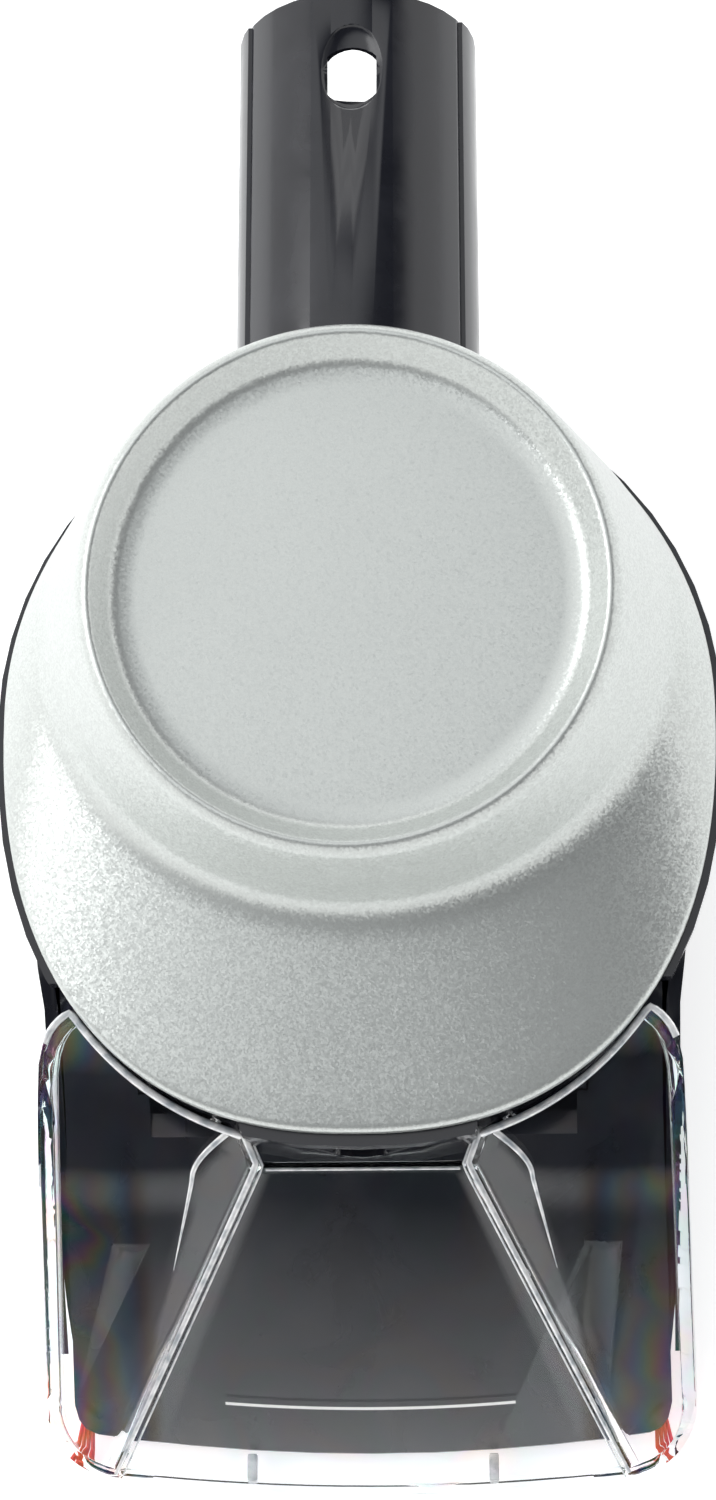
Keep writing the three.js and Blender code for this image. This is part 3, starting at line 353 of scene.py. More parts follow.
def grained(name, colour, roughness, grain_mm, depth_mm, spread=0.12):
    """A plain solid finish with a fine grain in its colour and its surface."""
    made, tree, shader, place = blank_material(name)
    if tree is None:
        return made
    grain = add(
        tree,
        "ShaderNodeTexNoise",
        {"Scale": per_metre(grain_mm), "Detail": 3.0},
        {"Vector": place},
    )
    base = Vector(colour[:3])
    colours = ramp(
        tree,
        grain.outputs["Fac"],
        [(0.3, (*(base * (1 - spread)), 1)), (0.7, (*(base * (1 + spread)), 1))],
    )
    tree.links.new(colours, shader.inputs["Base Color"])
    bump = add(
        tree,
        "ShaderNodeBump",
        {"Strength": 0.6, "Distance": depth_mm * MM},
        {"Height": grain.outputs["Fac"]},
    )
    tree.links.new(bump.outputs["Normal"], shader.inputs["Normal"])
    shader.inputs["Roughness"].default_value = roughness
    return made


def nitrile_rubber(looks):
    """Nitrile rubber seals: near black, dull, with a fine moulded grain."""
    return grained("nitrile_rubber", looks.rubber, 0.62, 0.6, 0.03)


def silicone_hose(looks):
    """Soft silicone tube: milky and faintly see-through."""
    made = grained("silicone_hose", looks.hose, 0.35, 1.5, 0.01, 0.05)
    shader = next(n for n in made.node_tree.nodes if n.type == "BSDF_PRINCIPLED")
    shader.inputs["Subsurface Weight"].default_value = 0.4
    shader.inputs["Subsurface Scale"].default_value = 0.001
    return made


def red_nylon(looks):
    """Extruded nylon bristle: bright orange red with a waxy gloss."""
    made = grained("red_bristle_nylon", looks.bristle, 0.4, 1.2, 0.01, 0.1)
    shader = next(n for n in made.node_tree.nodes if n.type == "BSDF_PRINCIPLED")
    shader.inputs["Subsurface Weight"].default_value = 0.2
    shader.inputs["Subsurface Scale"].default_value = 0.0008
    return made


def plated_steel(looks):
    """Zinc-plated screw steel: cool grey metal with fine turning marks."""
    made = grained("plated_steel", looks.steel, 0.32, 0.4, 0.004, 0.1)
    shader = next(n for n in made.node_tree.nodes if n.type == "BSDF_PRINCIPLED")
    shader.inputs["Metallic"].default_value = 1.0
    return made


def white_print(looks):
    """Pad-printed white ink: flat, slightly rough and thin at the grain."""
    return grained("white_print", looks.ink, 0.45, 0.5, 0.005, 0.04)


# ---------------------------------------------------------------- mesh helpers
def apply_modifiers(piece):
    """Replaces a piece's mesh by the one its modifiers give, and drops them."""
    bpy.context.view_layer.update()
    finished = bpy.data.meshes.new_from_object(
        piece.evaluated_get(bpy.context.evaluated_depsgraph_get())
    )
    finished.name = piece.name
    piece.modifiers.clear()
    piece.data = finished


def finish_piece(name, bm, material, body, replaced=(), sharp=32.0, modifiers=()):
    """Makes a bmesh in millimetres into a piece that rides on a body, in metres, with smooth shading."""
    bmesh.ops.scale(bm, vec=(MM, MM, MM), verts=bm.verts)
    mesh = bpy.data.meshes.new(name)
    bm.to_mesh(mesh)
    bm.free()
    piece = bpy.data.objects.new(name, mesh)
    bpy.context.scene.collection.objects.link(piece)
    for kind, settings in modifiers:
        made = piece.modifiers.new(kind.title(), kind)
        for key, value in settings.items():
            setattr(made, key, value)
    if modifiers:
        apply_modifiers(piece)
    piece.data.materials.clear()
    piece.data.materials.append(material)
    piece.data.shade_smooth()
    piece.data.set_sharp_from_angle(angle=math.radians(sharp))
    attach(piece, body)
    if replaced:
        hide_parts(*replaced)
    return piece


def cad_copy(node):
    """A merged copy of a CAD node's mesh, in millimetres, with its flat faces whole again."""
    bm = bmesh.new()
    bm.from_mesh(frame["nodes"][node].data)
    bmesh.ops.scale(bm, vec=(1 / MM, 1 / MM, 1 / MM), verts=bm.verts)
    bmesh.ops.remove_doubles(bm, verts=bm.verts, dist=0.002)
    bmesh.ops.dissolve_limit(bm, angle_limit=math.radians(0.4), verts=bm.verts, edges=bm.edges)
    return bm


def loft(rings):
    """A skin through rings of points. It starts from a circle, and each further ring is extruded."""
    bm = bmesh.new()
    count = len(rings[0])
    ring = bmesh.ops.create_circle(bm, segments=count, radius=1.0)["verts"]
    ring.sort(key=lambda v: math.atan2(v.co.y, v.co.x) % (2 * math.pi))
    for vert, place in zip(ring, rings[0]):
        vert.co = place
    for places in rings[1:]:
        edges = [bm.edges.get((ring[i], ring[(i + 1) % count])) for i in range(count)]
        made = bmesh.ops.extrude_edge_only(bm, edges=edges)["geom"]
        new = [item for item in made if isinstance(item, bmesh.types.BMVert)]
        partner = {}
        for vert in new:
            for edge in vert.link_edges:
                other = edge.other_vert(vert)
                if other in ring:
                    partner[other] = vert
        ring = [partner[old] for old in ring]
        for vert, place in zip(ring, places):
            vert.co = place
    return bm, ring


# ---------------------------------------------------------------- tank
def tank_station(rise, half, front, rear, centre_y, power, tilt):
    return (rise, half, front, rear, centre_y, power, tilt)


def blend_station(a, b, share):
    return tuple(lerp(x, y, share) for x, y in zip(a, b))


def station_gap(a, b):
    return math.hypot(a[0] - b[0], a[2] - b[2])


def soften(stations, steps=6):
    """Rounds each station that has a reach into a short curve between its neighbours."""
    out = [stations[0][0]]
    for i in range(1, len(stations) - 1):
        here, reach = stations[i]
        before, after = stations[i - 1][0], stations[i + 1][0]
        if reach == 0:
            out.append(here)
            continue
        start = blend_station(here, before, clamp(reach / station_gap(here, before), 0, 0.5))
        end = blend_station(here, after, clamp(reach / station_gap(here, after), 0, 0.5))
        for step in range(steps + 1):
            share = step / steps
            first = blend_station(start, here, share)
            out.append(blend_station(first, blend_station(here, end, share), share))
    out.append(stations[-1][0])
    return out


def tank_ring(station, count):
    """The outline of the tank at one station: a fuller curve in front than at the rear."""
    rise, half, front, rear, centre_y, power, tilt = station
    points = []
    for i in range(count):
        turn = 2 * math.pi * i / count
        c, s = math.cos(turn), math.sin(turn)
        depth, exponent = (front, 2 / power) if s < 0 else (rear, 1.0)
        x = half * math.copysign(abs(c) ** exponent, c)
        y = depth * math.copysign(abs(s) ** exponent, s)
        z = RIM_Z + rise + y * math.tan(math.radians(tilt))
        points.append(Vector((x, centre_y + y, z)))
    return points


def disc_station(radius, drop):
    return tank_station(
        CROWN_RISE - drop, radius, radius, radius, CROWN_Y, 2, CROWN_TILT
    )


def tank_stations():
    """The tank's side line from the rim to the middle of the dish, each station with its rounding."""
    rim = tank_station(0, RIM_HALF, RIM_FRONT, RIM_REAR, 0, RIM_POWER, 0)
    edge = tank_station(2.0, RIM_HALF, RIM_FRONT, RIM_REAR, 0, RIM_POWER, 0)
    waist = tank_station(WAIST_RISE, WAIST_HALF, WAIST_FRONT, WAIST_REAR, CROWN_Y, 2, 0)
    shoulder = disc_station(CROWN_R + 0.3, 1.2)
    return soften(
        [
            (rim, 0),
            (edge, 0.9),
            (waist, 3.6),
            (shoulder, 1.1),
            (disc_station(CROWN_R - 1.4, -0.05), 0.9),
            (disc_station(DISH_R + 0.6, DISH_DEPTH - 0.5), 1.2),
            (disc_station(DISH_R - 2.2, DISH_DEPTH), 1.0),
            (disc_station(DISH_R - 8, DISH_DEPTH), 0),
        ]
    )


def tank_bmesh(count):
    rings = []
    stations = tank_stations()
    for a, b in zip(stations, stations[1:]):
        parts = max(1, round(station_gap(a, b) / 3.0))
        rings += [tank_ring(blend_station(a, b, k / parts), count) for k in range(parts)]
    rings.append(tank_ring(stations[-1], count))
    for radius in (21, 14, 7, 2):
        rings.append(tank_ring(disc_station(radius, DISH_DEPTH), count))
    bm, last = loft(rings)
    centre = sum((v.co for v in last), Vector()) / count
    bmesh.ops.pointmerge(bm, verts=last, merge_co=centre)
    bmesh.ops.recalc_face_normals(bm, faces=bm.faces)
    return bm


# ---------------------------------------------------------------- clear cover
def trough_z(y):
    return TROUGH_TOP_Z + (y - TROUGH_TOP_Y) * TROUGH_SLOPE


def trough_half(y):
    """Half width of the fan: it opens to the lip, and spreads a little between the horns."""
    if y > TROUGH_TOP_Y:
        return lerp(TROUGH_TOP_HALF, HORN_HALF, clamp((y - TROUGH_TOP_Y) / 6))
    return lerp(TROUGH_TOP_HALF, TROUGH_LIP_HALF, (TROUGH_TOP_Y - y) / (TROUGH_TOP_Y - LIP_Y))


def side_half(y):
    share = clamp((y - SIDE_REAR_Y) / (LIP_Y + LIP_SAG + CORNER_R - SIDE_REAR_Y))
    return lerp(SIDE_HALF_REAR, SIDE_HALF_FRONT, share)


def crest_x(y):
    """Half width between the crests of the shoulders: a short arc out from the horn, then slowly wider."""
    arc = math.sin(clamp((CREST_START_Y - y) / CREST_ARC_LENGTH) * math.pi / 2)
    beyond = max(0.0, CREST_START_Y - CREST_ARC_LENGTH - y)
    return CREST_START_HALF + CREST_ARC_WIDTH * arc + CREST_WIDENING * beyond


def shoulder_reach(y):
    """How far the rounded shoulder spreads from the fan's wall on to the wing."""
    return max(SHOULDER_LEAST, crest_x(y) - trough_half(y) - WALL_LEAN)


def cover_z(x, y):
    """Top of the cover beside the fan: it leaves the wall half way up and rounds over to the wing."""
    share = clamp((abs(x) - trough_half(y) - WALL_LEAN) / shoulder_reach(y))
    low = lerp(trough_z(y), wing_z(y), 0.5)
    return lerp(low, wing_z(y), math.sin(share * math.pi / 2))


WING_LINE = [
    (-130.0, trough_z(-130) + WING_RISE),
    (-78.0, trough_z(-78) + WING_RISE),
    (-70.0, 41.0),
    (-63.0, 44.8),
    (-55.0, 47.8),
    (-46.0, 49.4),
    (-36.0, 49.6),
]


def wing_z(y):
    """Top of the wings: down the slope in front, and rounding over to level beside the tank."""
    for i in range(len(WING_LINE) - 1):
        (y0, z0), (y1, z1) = WING_LINE[i], WING_LINE[i + 1]
        if y <= y1 or i == len(WING_LINE) - 2:
            before = WING_LINE[i - 1] if i else (y0 - (y1 - y0), z0 - (z1 - z0))
            after = WING_LINE[i + 2] if i + 2 < len(WING_LINE) else (y1 + (y1 - y0), z1)
            m0 = (z1 - before[1]) / (y1 - before[0]) * (y1 - y0)
            m1 = (after[1] - z0) / (after[0] - y0) * (y1 - y0)
            if i == 0:
                m0 = m1 = z1 - z0
            if i == 1:
                m0 = TROUGH_SLOPE * (y1 - y0)
            t = (y - y0) / (y1 - y0)
            h00, h10 = 2 * t**3 - 3 * t**2 + 1, t**3 - 2 * t**2 + t
            h01, h11 = -2 * t**3 + 3 * t**2, t**3 - t**2
            return h00 * z0 + h10 * m0 + h01 * z1 + h11 * m1
    return WING_LINE[-1][1]


def front_y(x):
    """Front edge of the cover: a shallow bow with rounded corners."""
    straight = SIDE_HALF_FRONT - CORNER_R
    x = abs(x)
    if x <= straight:
        return LIP_Y + LIP_SAG * (x / straight) ** 2
    reach = clamp((x - straight) / CORNER_R)
    return LIP_Y + LIP_SAG + CORNER_R - CORNER_R * math.sqrt(1 - reach * reach)


def rear_y(x):
    """Rear edge of the wings: along the tank rim, then round a soft corner to the side."""
    x = abs(x)
    half, front = RIM_HALF + RIM_GAP, RIM_FRONT + RIM_GAP
    along_rim = -front * (1 - clamp(x / half) ** RIM_POWER) ** (1 / RIM_POWER)
    reach = clamp((x - (SIDE_HALF_REAR - REAR_CORNER_WIDTH)) / REAR_CORNER_WIDTH)
    power = REAR_CORNER_POWER
    corner = SIDE_REAR_Y + REAR_CORNER_LENGTH * (1 - reach**power) ** (1 / power)
    return min(along_rim, corner)


def foot_z(y):
    """Foot of the cover's outer wall."""
    if y > FOOT_TURN_Y:
        return trough_z(y) - FOOT_DROP
    share = clamp((FOOT_TURN_Y - y) / FOOT_TURN_LENGTH)
    return lerp(trough_z(FOOT_TURN_Y) - FOOT_DROP, LIP_BOTTOM, share)


COVER_ROWS = 46
WING_COLUMNS = 18
TROUGH_COLUMNS = 16
HORN_ROWS = 3  # rows behind the head of the trough
SOLVE_STEPS, SOLVE_SHARE = 14, 0.7


def cover_place(column, row):
    """Place of a vertex of the cover's sheet, from its column across and its row from tank to lip."""
    middle = WING_COLUMNS + 1 + TROUGH_COLUMNS / 2
    side = -1 if column < middle else 1
    from_middle = abs(column - middle)
    in_trough = from_middle <= TROUGH_COLUMNS / 2
    if in_trough:
        share = from_middle / (TROUGH_COLUMNS / 2)
    else:
        across = (from_middle - TROUGH_COLUMNS / 2 - 1) / WING_COLUMNS
        # Columns crowd towards the fan, where the shoulder curves, and towards the side wall.
        share = lerp(0.75 * across + 0.25 * across**2, math.sin(across * math.pi / 2), across)
    start, end = rear_y(TROUGH_TOP_HALF), front_y(TROUGH_LIP_HALF)
    head = (TROUGH_TOP_Y - start) / (end - start)
    if row <= HORN_ROWS:
        down = head * row / HORN_ROWS
    else:
        down = lerp(head, 1, (row - HORN_ROWS) / (COVER_ROWS - HORN_ROWS))
    # x and y each depend on the other, so both are worked out by repeating from the middle of a wing.
    x, y = 30.0, -80.0
    for _ in range(SOLVE_STEPS):
        if in_trough:
            x = trough_half(y) * share
            start = rear_y(trough_half(y))
        else:
            x = lerp(trough_half(y) + WALL_LEAN, side_half(y), share)
            start = rear_y(x)
        target = lerp(start, front_y(x), down)
        y = lerp(y, target, SOLVE_SHARE)
    return Vector((side * x, y, trough_z(y) if in_trough else cover_z(x, y)))


def cover_bmesh():
    """The clear cover as one sheet: a sunken fan between two wings, with its outer wall turned down."""
    columns = 2 * (WING_COLUMNS + 1) + TROUGH_COLUMNS
    bm = bmesh.new()
    grid = bmesh.ops.create_grid(bm, x_segments=columns, y_segments=COVER_ROWS, size=0.5)["verts"]
    placed = {}
    for vert in grid:
        column = round((vert.co.x + 0.5) * columns)
        row = round((0.5 - vert.co.y) * COVER_ROWS)
        placed[(column, row)] = vert
    for (column, row), vert in placed.items():
        vert.co = cover_place(column, row)
    left, right = WING_COLUMNS + 1, WING_COLUMNS + 1 + TROUGH_COLUMNS
    head = {placed[(c, r)] for c in range(left, right + 1) for r in range(HORN_ROWS + 1)}
    open_head = [face for face in bm.faces if all(vert in head for vert in face.verts)]
    bmesh.ops.delete(bm, geom=open_head, context="FACES")
    turned = []
    for (column, row), vert in placed.items():
        if not vert.is_valid:
            continue
        for nxt in ((column + 1, row), (column, row + 1)):
            other = placed.get(nxt)
            if other is None or not other.is_valid:
                continue
            edge = bm.edges.get((vert, other))
            if edge is None or not edge.is_boundary:
                continue
            at_side = column in (0, columns) and nxt[0] in (0, columns)
            at_lip = row == COVER_ROWS and nxt[1] == COVER_ROWS
            beside = min(abs(vert.co.x), abs(other.co.x)) > CORNER_WALL_HALF
            at_corner = row == 0 and nxt[1] == 0 and beside
            if at_side or at_lip or at_corner:
                turned.append(edge)
    made = bmesh.ops.extrude_edge_only(bm, edges=turned)["geom"]
    low = [item for item in made if isinstance(item, bmesh.types.BMVert)]
    for vert in low:
        vert.co.z = foot_z(vert.co.y)
    creases = [e for e in turned if e.is_valid]
    for side_column in (left, right):
        for step in (0, -1 if side_column == left else 1):
            for row in range(HORN_ROWS, COVER_ROWS):
                upper = placed[(side_column + step, row)]
                lower = placed[(side_column + step, row + 1)]
                edge = bm.edges.get((upper, lower))
                if edge is not None:
                    creases.append(edge)
    bmesh.ops.bevel(
        bm,
        geom=creases,
        offset=CREASE_ROUNDING,
        offset_type="OFFSET",
        segments=3,
        profile=0.5,
        affect="EDGES",
        material=-1,
        clamp_overlap=True,
    )
    bmesh.ops.dissolve_degenerate(bm, dist=0.04, edges=bm.edges)
    bmesh.ops.recalc_face_normals(bm, faces=bm.faces)
    if sum(f.normal.z * f.calc_area() for f in bm.faces) < 0:
        bmesh.ops.reverse_faces(bm, faces=bm.faces)
    return bm


def round_bead(bm, points, radii):
    """A round bead: a circle is extruded along a line of points and closed at both ends."""
    sides = 8
    ring = bmesh.ops.create_circle(bm, segments=sides, radius=1.0)["verts"]
    ring.sort(key=lambda v: math.atan2(v.co.y, v.co.x))
    first_ring = None
    for index, (point, radius) in enumerate(zip(points, radii)):
        ahead = points[min(index + 1, len(points) - 1)] - points[max(index - 1, 0)]
        sideways = ahead.cross(Vector((0, 0, 1))).normalized()
        upward = sideways.cross(ahead).normalized()
        if index:
            edges = [bm.edges.get((ring[i], ring[(i + 1) % sides])) for i in range(sides)]
            made = bmesh.ops.extrude_edge_only(bm, edges=edges)["geom"]
            new = {item for item in made if isinstance(item, bmesh.types.BMVert)}
            ring = [next(e.other_vert(v) for e in v.link_edges if e.other_vert(v) in new) for v in ring]
        else:
            first_ring = list(ring)
        for i, vert in enumerate(ring):
            turn = 2 * math.pi * i / sides
            vert.co = point + (sideways * math.cos(turn) + upward * math.sin(turn)) * radius
    for end in (first_ring, ring):
        edges = [bm.edges.get((end[i], end[(i + 1) % sides])) for i in range(sides)]
        bmesh.ops.edgeloop_fill(bm, edges=edges)
    return bm


def along(low, high, count):
    return [lerp(low, high, i / (count - 1)) for i in range(count)]


def rim_bead_line(side):
    """The wing's rear edge, from the horn to the soft corner."""
    points = []
    for x in along(HORN_HALF + 0.6, SIDE_HALF_REAR - 1.2, 40):
        y = rear_y(x) - 0.68
        points.append(Vector((side * x, y, cover_z(x, y) + 0.25)))
    return points


def horn_bead_line(side, top):
    """One edge of the fan's wall, from the horn down to the lip."""
    points = []
    for y in along(-65.6, LIP_Y + 3.2, 44):
        x = trough_half(y) + (0.9 if top else 0.1)
        z = cover_z(x, y) if top else trough_z(y) + 0.1
        points.append(Vector((side * x, y, z)))
    return points


def shoulder_line(side):
    """The crest of the shoulder: out from the horn in a short arc, then down the wing."""
    points = []
    for y in along(-66.3, -86.0, 44):
        x = crest_x(y)
        points.append(Vector((side * x, y, cover_z(x, y) + 0.02)))
    return points


def painted_highlight_beads():
    """Moulded edges of the cover, as beads that carry a painted white highlight."""
    bm = bmesh.new()
    for side in (-1, 1):
        lines = (
            (rim_bead_line(side), RIM_BEAD),
            (horn_bead_line(side, True), HORN_TOP_BEAD),
            (horn_bead_line(side, False), HORN_FOOT_BEAD),
            (shoulder_line(side), SHOULDER_BEAD),
        )
        for points, (start, end) in lines:
            round_bead(bm, points, along(start, end, len(points)))
    head_y = TROUGH_TOP_Y - 0.45
    head = [Vector((x, head_y, trough_z(head_y) + 0.05)) for x in along(-15.4, 15.4, 16)]
    round_bead(bm, head, along(*HEAD_BEAD, len(head)))
    return bm


# ---------------------------------------------------------------- settings
class HoseToolSizes(bpy.types.PropertyGroup):
    """Sizes that can be changed without touching the joints or the mounts."""

    tank_wall: bpy.props.FloatProperty(
        name="Tank wall",
        description="Thickness of the tank's wall, square to its skin",
        default=1.6 * MM,
        unit="LENGTH",
    )
    cover_wall: bpy.props.FloatProperty(
        name="Cover wall",
        description="Thickness of the clear cover",
        default=2.2 * MM,
        unit="LENGTH",
    )
    bristle_length: bpy.props.FloatProperty(
        name="Bristle length",
        description="How far the bristles stand out of their strip",
        default=3.4 * MM,
        unit="LENGTH",
    )
    bristle_rows: bpy.props.IntProperty(
        name="Bristle rows", description="Rows of bristle tufts", default=2
    )


class HoseToolLooks(bpy.types.PropertyGroup):
    """Colours of the finishes."""

    silver: bpy.props.FloatVectorProperty(
        name="Silver", description="Tank", subtype="COLOR", size=4, default=linear("#CBCFCC")
    )
    black: bpy.props.FloatVectorProperty(
        name="Black", description="Body shells", subtype="COLOR", size=4, default=linear("#202127")
    )
    rubber: bpy.props.FloatVectorProperty(
        name="Rubber", description="Seals", subtype="COLOR", size=4, default=linear("#1E1E20")
    )
    hose: bpy.props.FloatVectorProperty(
        name="Tube", description="Fluid tube", subtype="COLOR", size=4, default=linear("#DADEDA")
    )
    bristle: bpy.props.FloatVectorProperty(
        name="Bristles", description="Brush", subtype="COLOR", size=4, default=linear("#F0442C")
    )
    steel: bpy.props.FloatVectorProperty(
        name="Steel", description="Screws", subtype="COLOR", size=4, default=linear("#C2C5C8")
    )
    ink: bpy.props.FloatVectorProperty(
        name="Print", description="Printed line", subtype="COLOR", size=4, default=linear("#F4F4F2")
    )


class HoseToolStudio(bpy.types.PropertyGroup):
    """Camera and light."""

    lens: bpy.props.FloatProperty(
        name="Lens", description="Focal length on a 36 mm high sensor, in mm", default=72.0
    )
    distance: bpy.props.FloatProperty(
        name="Distance", description="From the camera to the tool", default=0.48, unit="LENGTH"
    )
    elevation: bpy.props.FloatProperty(
        name="Elevation",
        description="Height of the camera above the horizon",
        default=math.radians(73.3),
        unit="ROTATION",
    )
    swing: bpy.props.FloatProperty(
        name="Swing",
        description="How far the camera leans over to the right",
        default=math.radians(3.2),
        unit="ROTATION",
    )
    key: bpy.props.FloatProperty(
        name="Key light", description="Power of the large light on the left", default=4.6
    )
    fill: bpy.props.FloatProperty(
        name="Fill light", description="Power of the light on the right", default=0.3
    )
    sky: bpy.props.FloatProperty(
        name="Surround", description="Brightness of the white surround", default=1.25
    )


# ---------------------------------------------------------------- operators
class HOSETOOL_OT_stage(bpy.types.Operator):
    """Set up the camera, the pale floor and the soft light"""

    bl_idname = "hosetool.stage"
    bl_label = "Stage"

    def execute(self, context):
        studio = context.scene.hose_tool_studio
        self.place_camera(context.scene, studio)
        self.place_floor()
        # Each light's name, power in watts, place and width in metres.
        self.place_light("key_light", studio.key, (-0.85, 0.2, 0.8), 0.8)
        self.place_light("fill_light", studio.fill, (0.8, 0.15, 0.7), 0.7)
        self.place_light("back_light", studio.fill * 2.0, (0.0, 0.95, 0.75), 0.8)
        self.surround(context.scene, studio.sky)
        context.scene.view_settings.view_transform = "Standard"
        return {"FINISHED"}

    def place_camera(self, scene, studio):
        lean = Matrix.Rotation(studio.swing, 3, "Y")
        ce, se = math.cos(studio.elevation), math.sin(studio.elevation)
        back = lean @ Vector((0, -ce, se))
        up = lean @ Vector((0, se, ce))
        right = lean @ Vector((1, 0, 0))
        data = bpy.data.cameras.new("camera")
        data.sensor_fit = "VERTICAL"
        data.sensor_height = 36.0
        data.lens = studio.lens
        data.clip_start = 0.01
        camera = bpy.data.objects.new("camera", data)
        scene.collection.objects.link(camera)
        turn = Matrix((right, up, back)).transposed().to_4x4()
        target = Vector((0, -5.9, 50)) * MM
        camera.matrix_world = Matrix.Translation(target + back * studio.distance) @ turn
        scene.camera = camera

    def place_floor(self):
        bm = bmesh.new()
        bmesh.ops.create_grid(bm, x_segments=4, y_segments=4, size=3.0)
        mesh = bpy.data.meshes.new("floor")
        bm.to_mesh(mesh)
        bm.free()
        floor = bpy.data.objects.new("floor", mesh)
        bpy.context.scene.collection.objects.link(floor)
        made, tree, shader, _ = blank_material("white_light_table")
        shader.inputs["Base Color"].default_value = linear("#F4F5F5")
        shader.inputs["Roughness"].default_value = 0.6
        shader.inputs["Emission Color"].default_value = linear("#FFFFFF")
        shader.inputs["Emission Strength"].default_value = 0.62
        mesh.materials.append(made)

    def place_light(self, name, power, place, size):
        data = bpy.data.lights.new(name, "AREA")
        data.shape = "DISK"
        data.size = size
        data.energy = power
        lamp = bpy.data.objects.new(name, data)
        lamp.location = place
        aim = Vector((0, -0.01, 0.05)) - Vector(place)
        lamp.rotation_euler = aim.to_track_quat("-Z", "Y").to_euler()
        bpy.context.scene.collection.objects.link(lamp)

    def surround(self, scene, strength):
        world = bpy.data.worlds.new("white_surround")
        world.use_nodes = True
        tree = world.node_tree
        shade = tree.nodes["Background"]
        towards = add(tree, "ShaderNodeTexCoord").outputs["Generated"]
        height = add(tree, "ShaderNodeSeparateXYZ", links={"Vector": towards})
        horizon = ramp(tree, height.outputs["Z"], [(0.48, linear("#FFFFFF")), (0.56, linear("#1C1D21"))])
        # A wide soft box overhead, a little to the left and to the rear.
        facing = add(
            tree,
            "ShaderNodeVectorMath",
            {"operation": "DOT_PRODUCT", 1: (-0.35, 0.2, 0.915)},
            {0: towards},
        )
        overhead = ramp(
            tree,
            facing.outputs["Value"],
            [(0.76, linear("#303238")), (0.93, linear("#F4F6F8")), (1.0, linear("#FFFFFF"))],
        )
        both = add(
            tree, "ShaderNodeVectorMath", {"operation": "MAXIMUM"}, {0: horizon, 1: overhead}
        )
        tree.links.new(both.outputs["Vector"], shade.inputs["Color"])
        shade.inputs["Strength"].default_value = strength
        scene.world = world


class HOSETOOL_OT_tank(bpy.types.Operator):
    """Build the silver tank with its sunken top"""

    bl_idname = "hosetool.tank"
    bl_label = "Tank"

    def execute(self, context):
        looks, sizes = context.scene.hose_tool_looks, context.scene.hose_tool_sizes
        wall = {"thickness": sizes.tank_wall, "offset": -1.0, "use_even_offset": True}
        finish_piece(
            "silver_tank",
            tank_bmesh(160),
            silver_flake_abs(looks),
            "tank",
            ("tank_bowl",),
            sharp=60,
            modifiers=[("SOLIDIFY", wall)],
        )
        return {"FINISHED"}


class HOSETOOL_OT_cover(bpy.types.Operator):
    """Build the clear nozzle cover and its printed line"""

    bl_idname = "hosetool.cover"
    bl_label = "Clear Cover"

    def execute(self, context):
        looks, sizes = context.scene.hose_tool_looks, context.scene.hose_tool_sizes
        wall = {"thickness": sizes.cover_wall, "offset": -1.0, "use_even_offset": True}
        edge = {
            "width": 0.35 * MM,
            "segments": 2,
            "limit_method": "ANGLE",
            "angle_limit": math.radians(50),
        }
        finish_piece(
            "clear_cover",
            cover_bmesh(),
            clear_styrene(looks),
            "body",
            ("nozzle_cover",),
            sharp=50,
            modifiers=[("SOLIDIFY", wall), ("BEVEL", edge)],
        )
        # The beads carry a painted highlight: white lines where the clear cover's edges catch the light.
        finish_piece(
            "cover_painted_highlight_beads", painted_highlight_beads(), painted_highlight_styrene(looks), "body", sharp=50
        )
        self.spacer_ribs(looks)
        self.printed_line(looks)
        return {"FINISHED"}

    def spacer_ribs(self, looks):
        """Two small ribs that hold the lip off the floor's edge."""
        bm = bmesh.new()
        for side in (-1, 1):
            rib = bmesh.ops.create_cube(bm, size=1.0)["verts"]
            bmesh.ops.scale(bm, vec=RIB_SIZE, verts=rib)
            bmesh.ops.translate(bm, vec=(side * RIB_HALF, LIP_Y + 4.8, LIP_BOTTOM + 2.0), verts=rib)
        bmesh.ops.bevel(
            bm, geom=bm.edges[:], offset=0.3, segments=2, profile=0.5, affect="EDGES", material=-1
        )
        # The clear ribs take the beads' painted white highlight.
        finish_piece("cover_spacer_ribs", bm, painted_highlight_styrene(looks), "body")

    def printed_line(self, looks):
        """A plain bowed line printed across the fan."""
        bm = bmesh.new()
        strip = bmesh.ops.create_grid(bm, x_segments=40, y_segments=1, size=0.5)["verts"]
        for vert in strip:
            x = vert.co.x * LINE_LENGTH
            y = LINE_Y + LINE_BOW * (x / (LINE_LENGTH / 2)) ** 2 + vert.co.y * LINE_WIDTH
            vert.co = Vector((x, y, trough_z(y) + 0.06))
        finish_piece(
            "printed_line",
            bm,
            white_print(looks),
            "body",
            modifiers=[("SOLIDIFY", {"thickness": 0.04 * MM, "offset": 0.0})],
        )


class HOSETOOL_OT_shells(bpy.types.Operator):
    """Finish the two black body shells"""

    bl_idname = "hosetool.shells"
    bl_label = "Body Shells"

    def execute(self, context):
        looks = context.scene.hose_tool_looks
        for node, name in (("body_lower_shell", "lower_shell"), ("body_upper_shell", "upper_shell")):
            piece = finish_piece(
                name, cad_copy(node), black_gloss_abs(looks), "body", (node,), sharp=28
            )
            self.round_collar(piece.data)
        return {"FINISHED"}

    def round_collar(self, mesh):
        """Gives the collar's facets the normals of a true cylinder."""
        normals = [Vector(corner.vector) for corner in mesh.corner_normals]
        start = (COLLAR_START_Y + 0.1) * MM
        for face in mesh.polygons:
            places = [mesh.vertices[i].co for i in face.vertices]
            if min(p.y for p in places) < start or abs(face.normal.y) > 0.05:
                continue
            radii = [math.hypot(p.x, p.z - RIM_Z * MM) for p in places]
            if max(radii) - min(radii) > 0.15 * MM:
                continue
            outward = face.normal.dot(Vector((face.center.x, 0, face.center.z - RIM_Z * MM))) > 0
            for loop, p in zip(face.loop_indices, places):
                radial = Vector((p.x, 0, p.z - RIM_Z * MM)).normalized()
                normals[loop] = radial if outward else -radial
        mesh.normals_split_custom_set(normals)


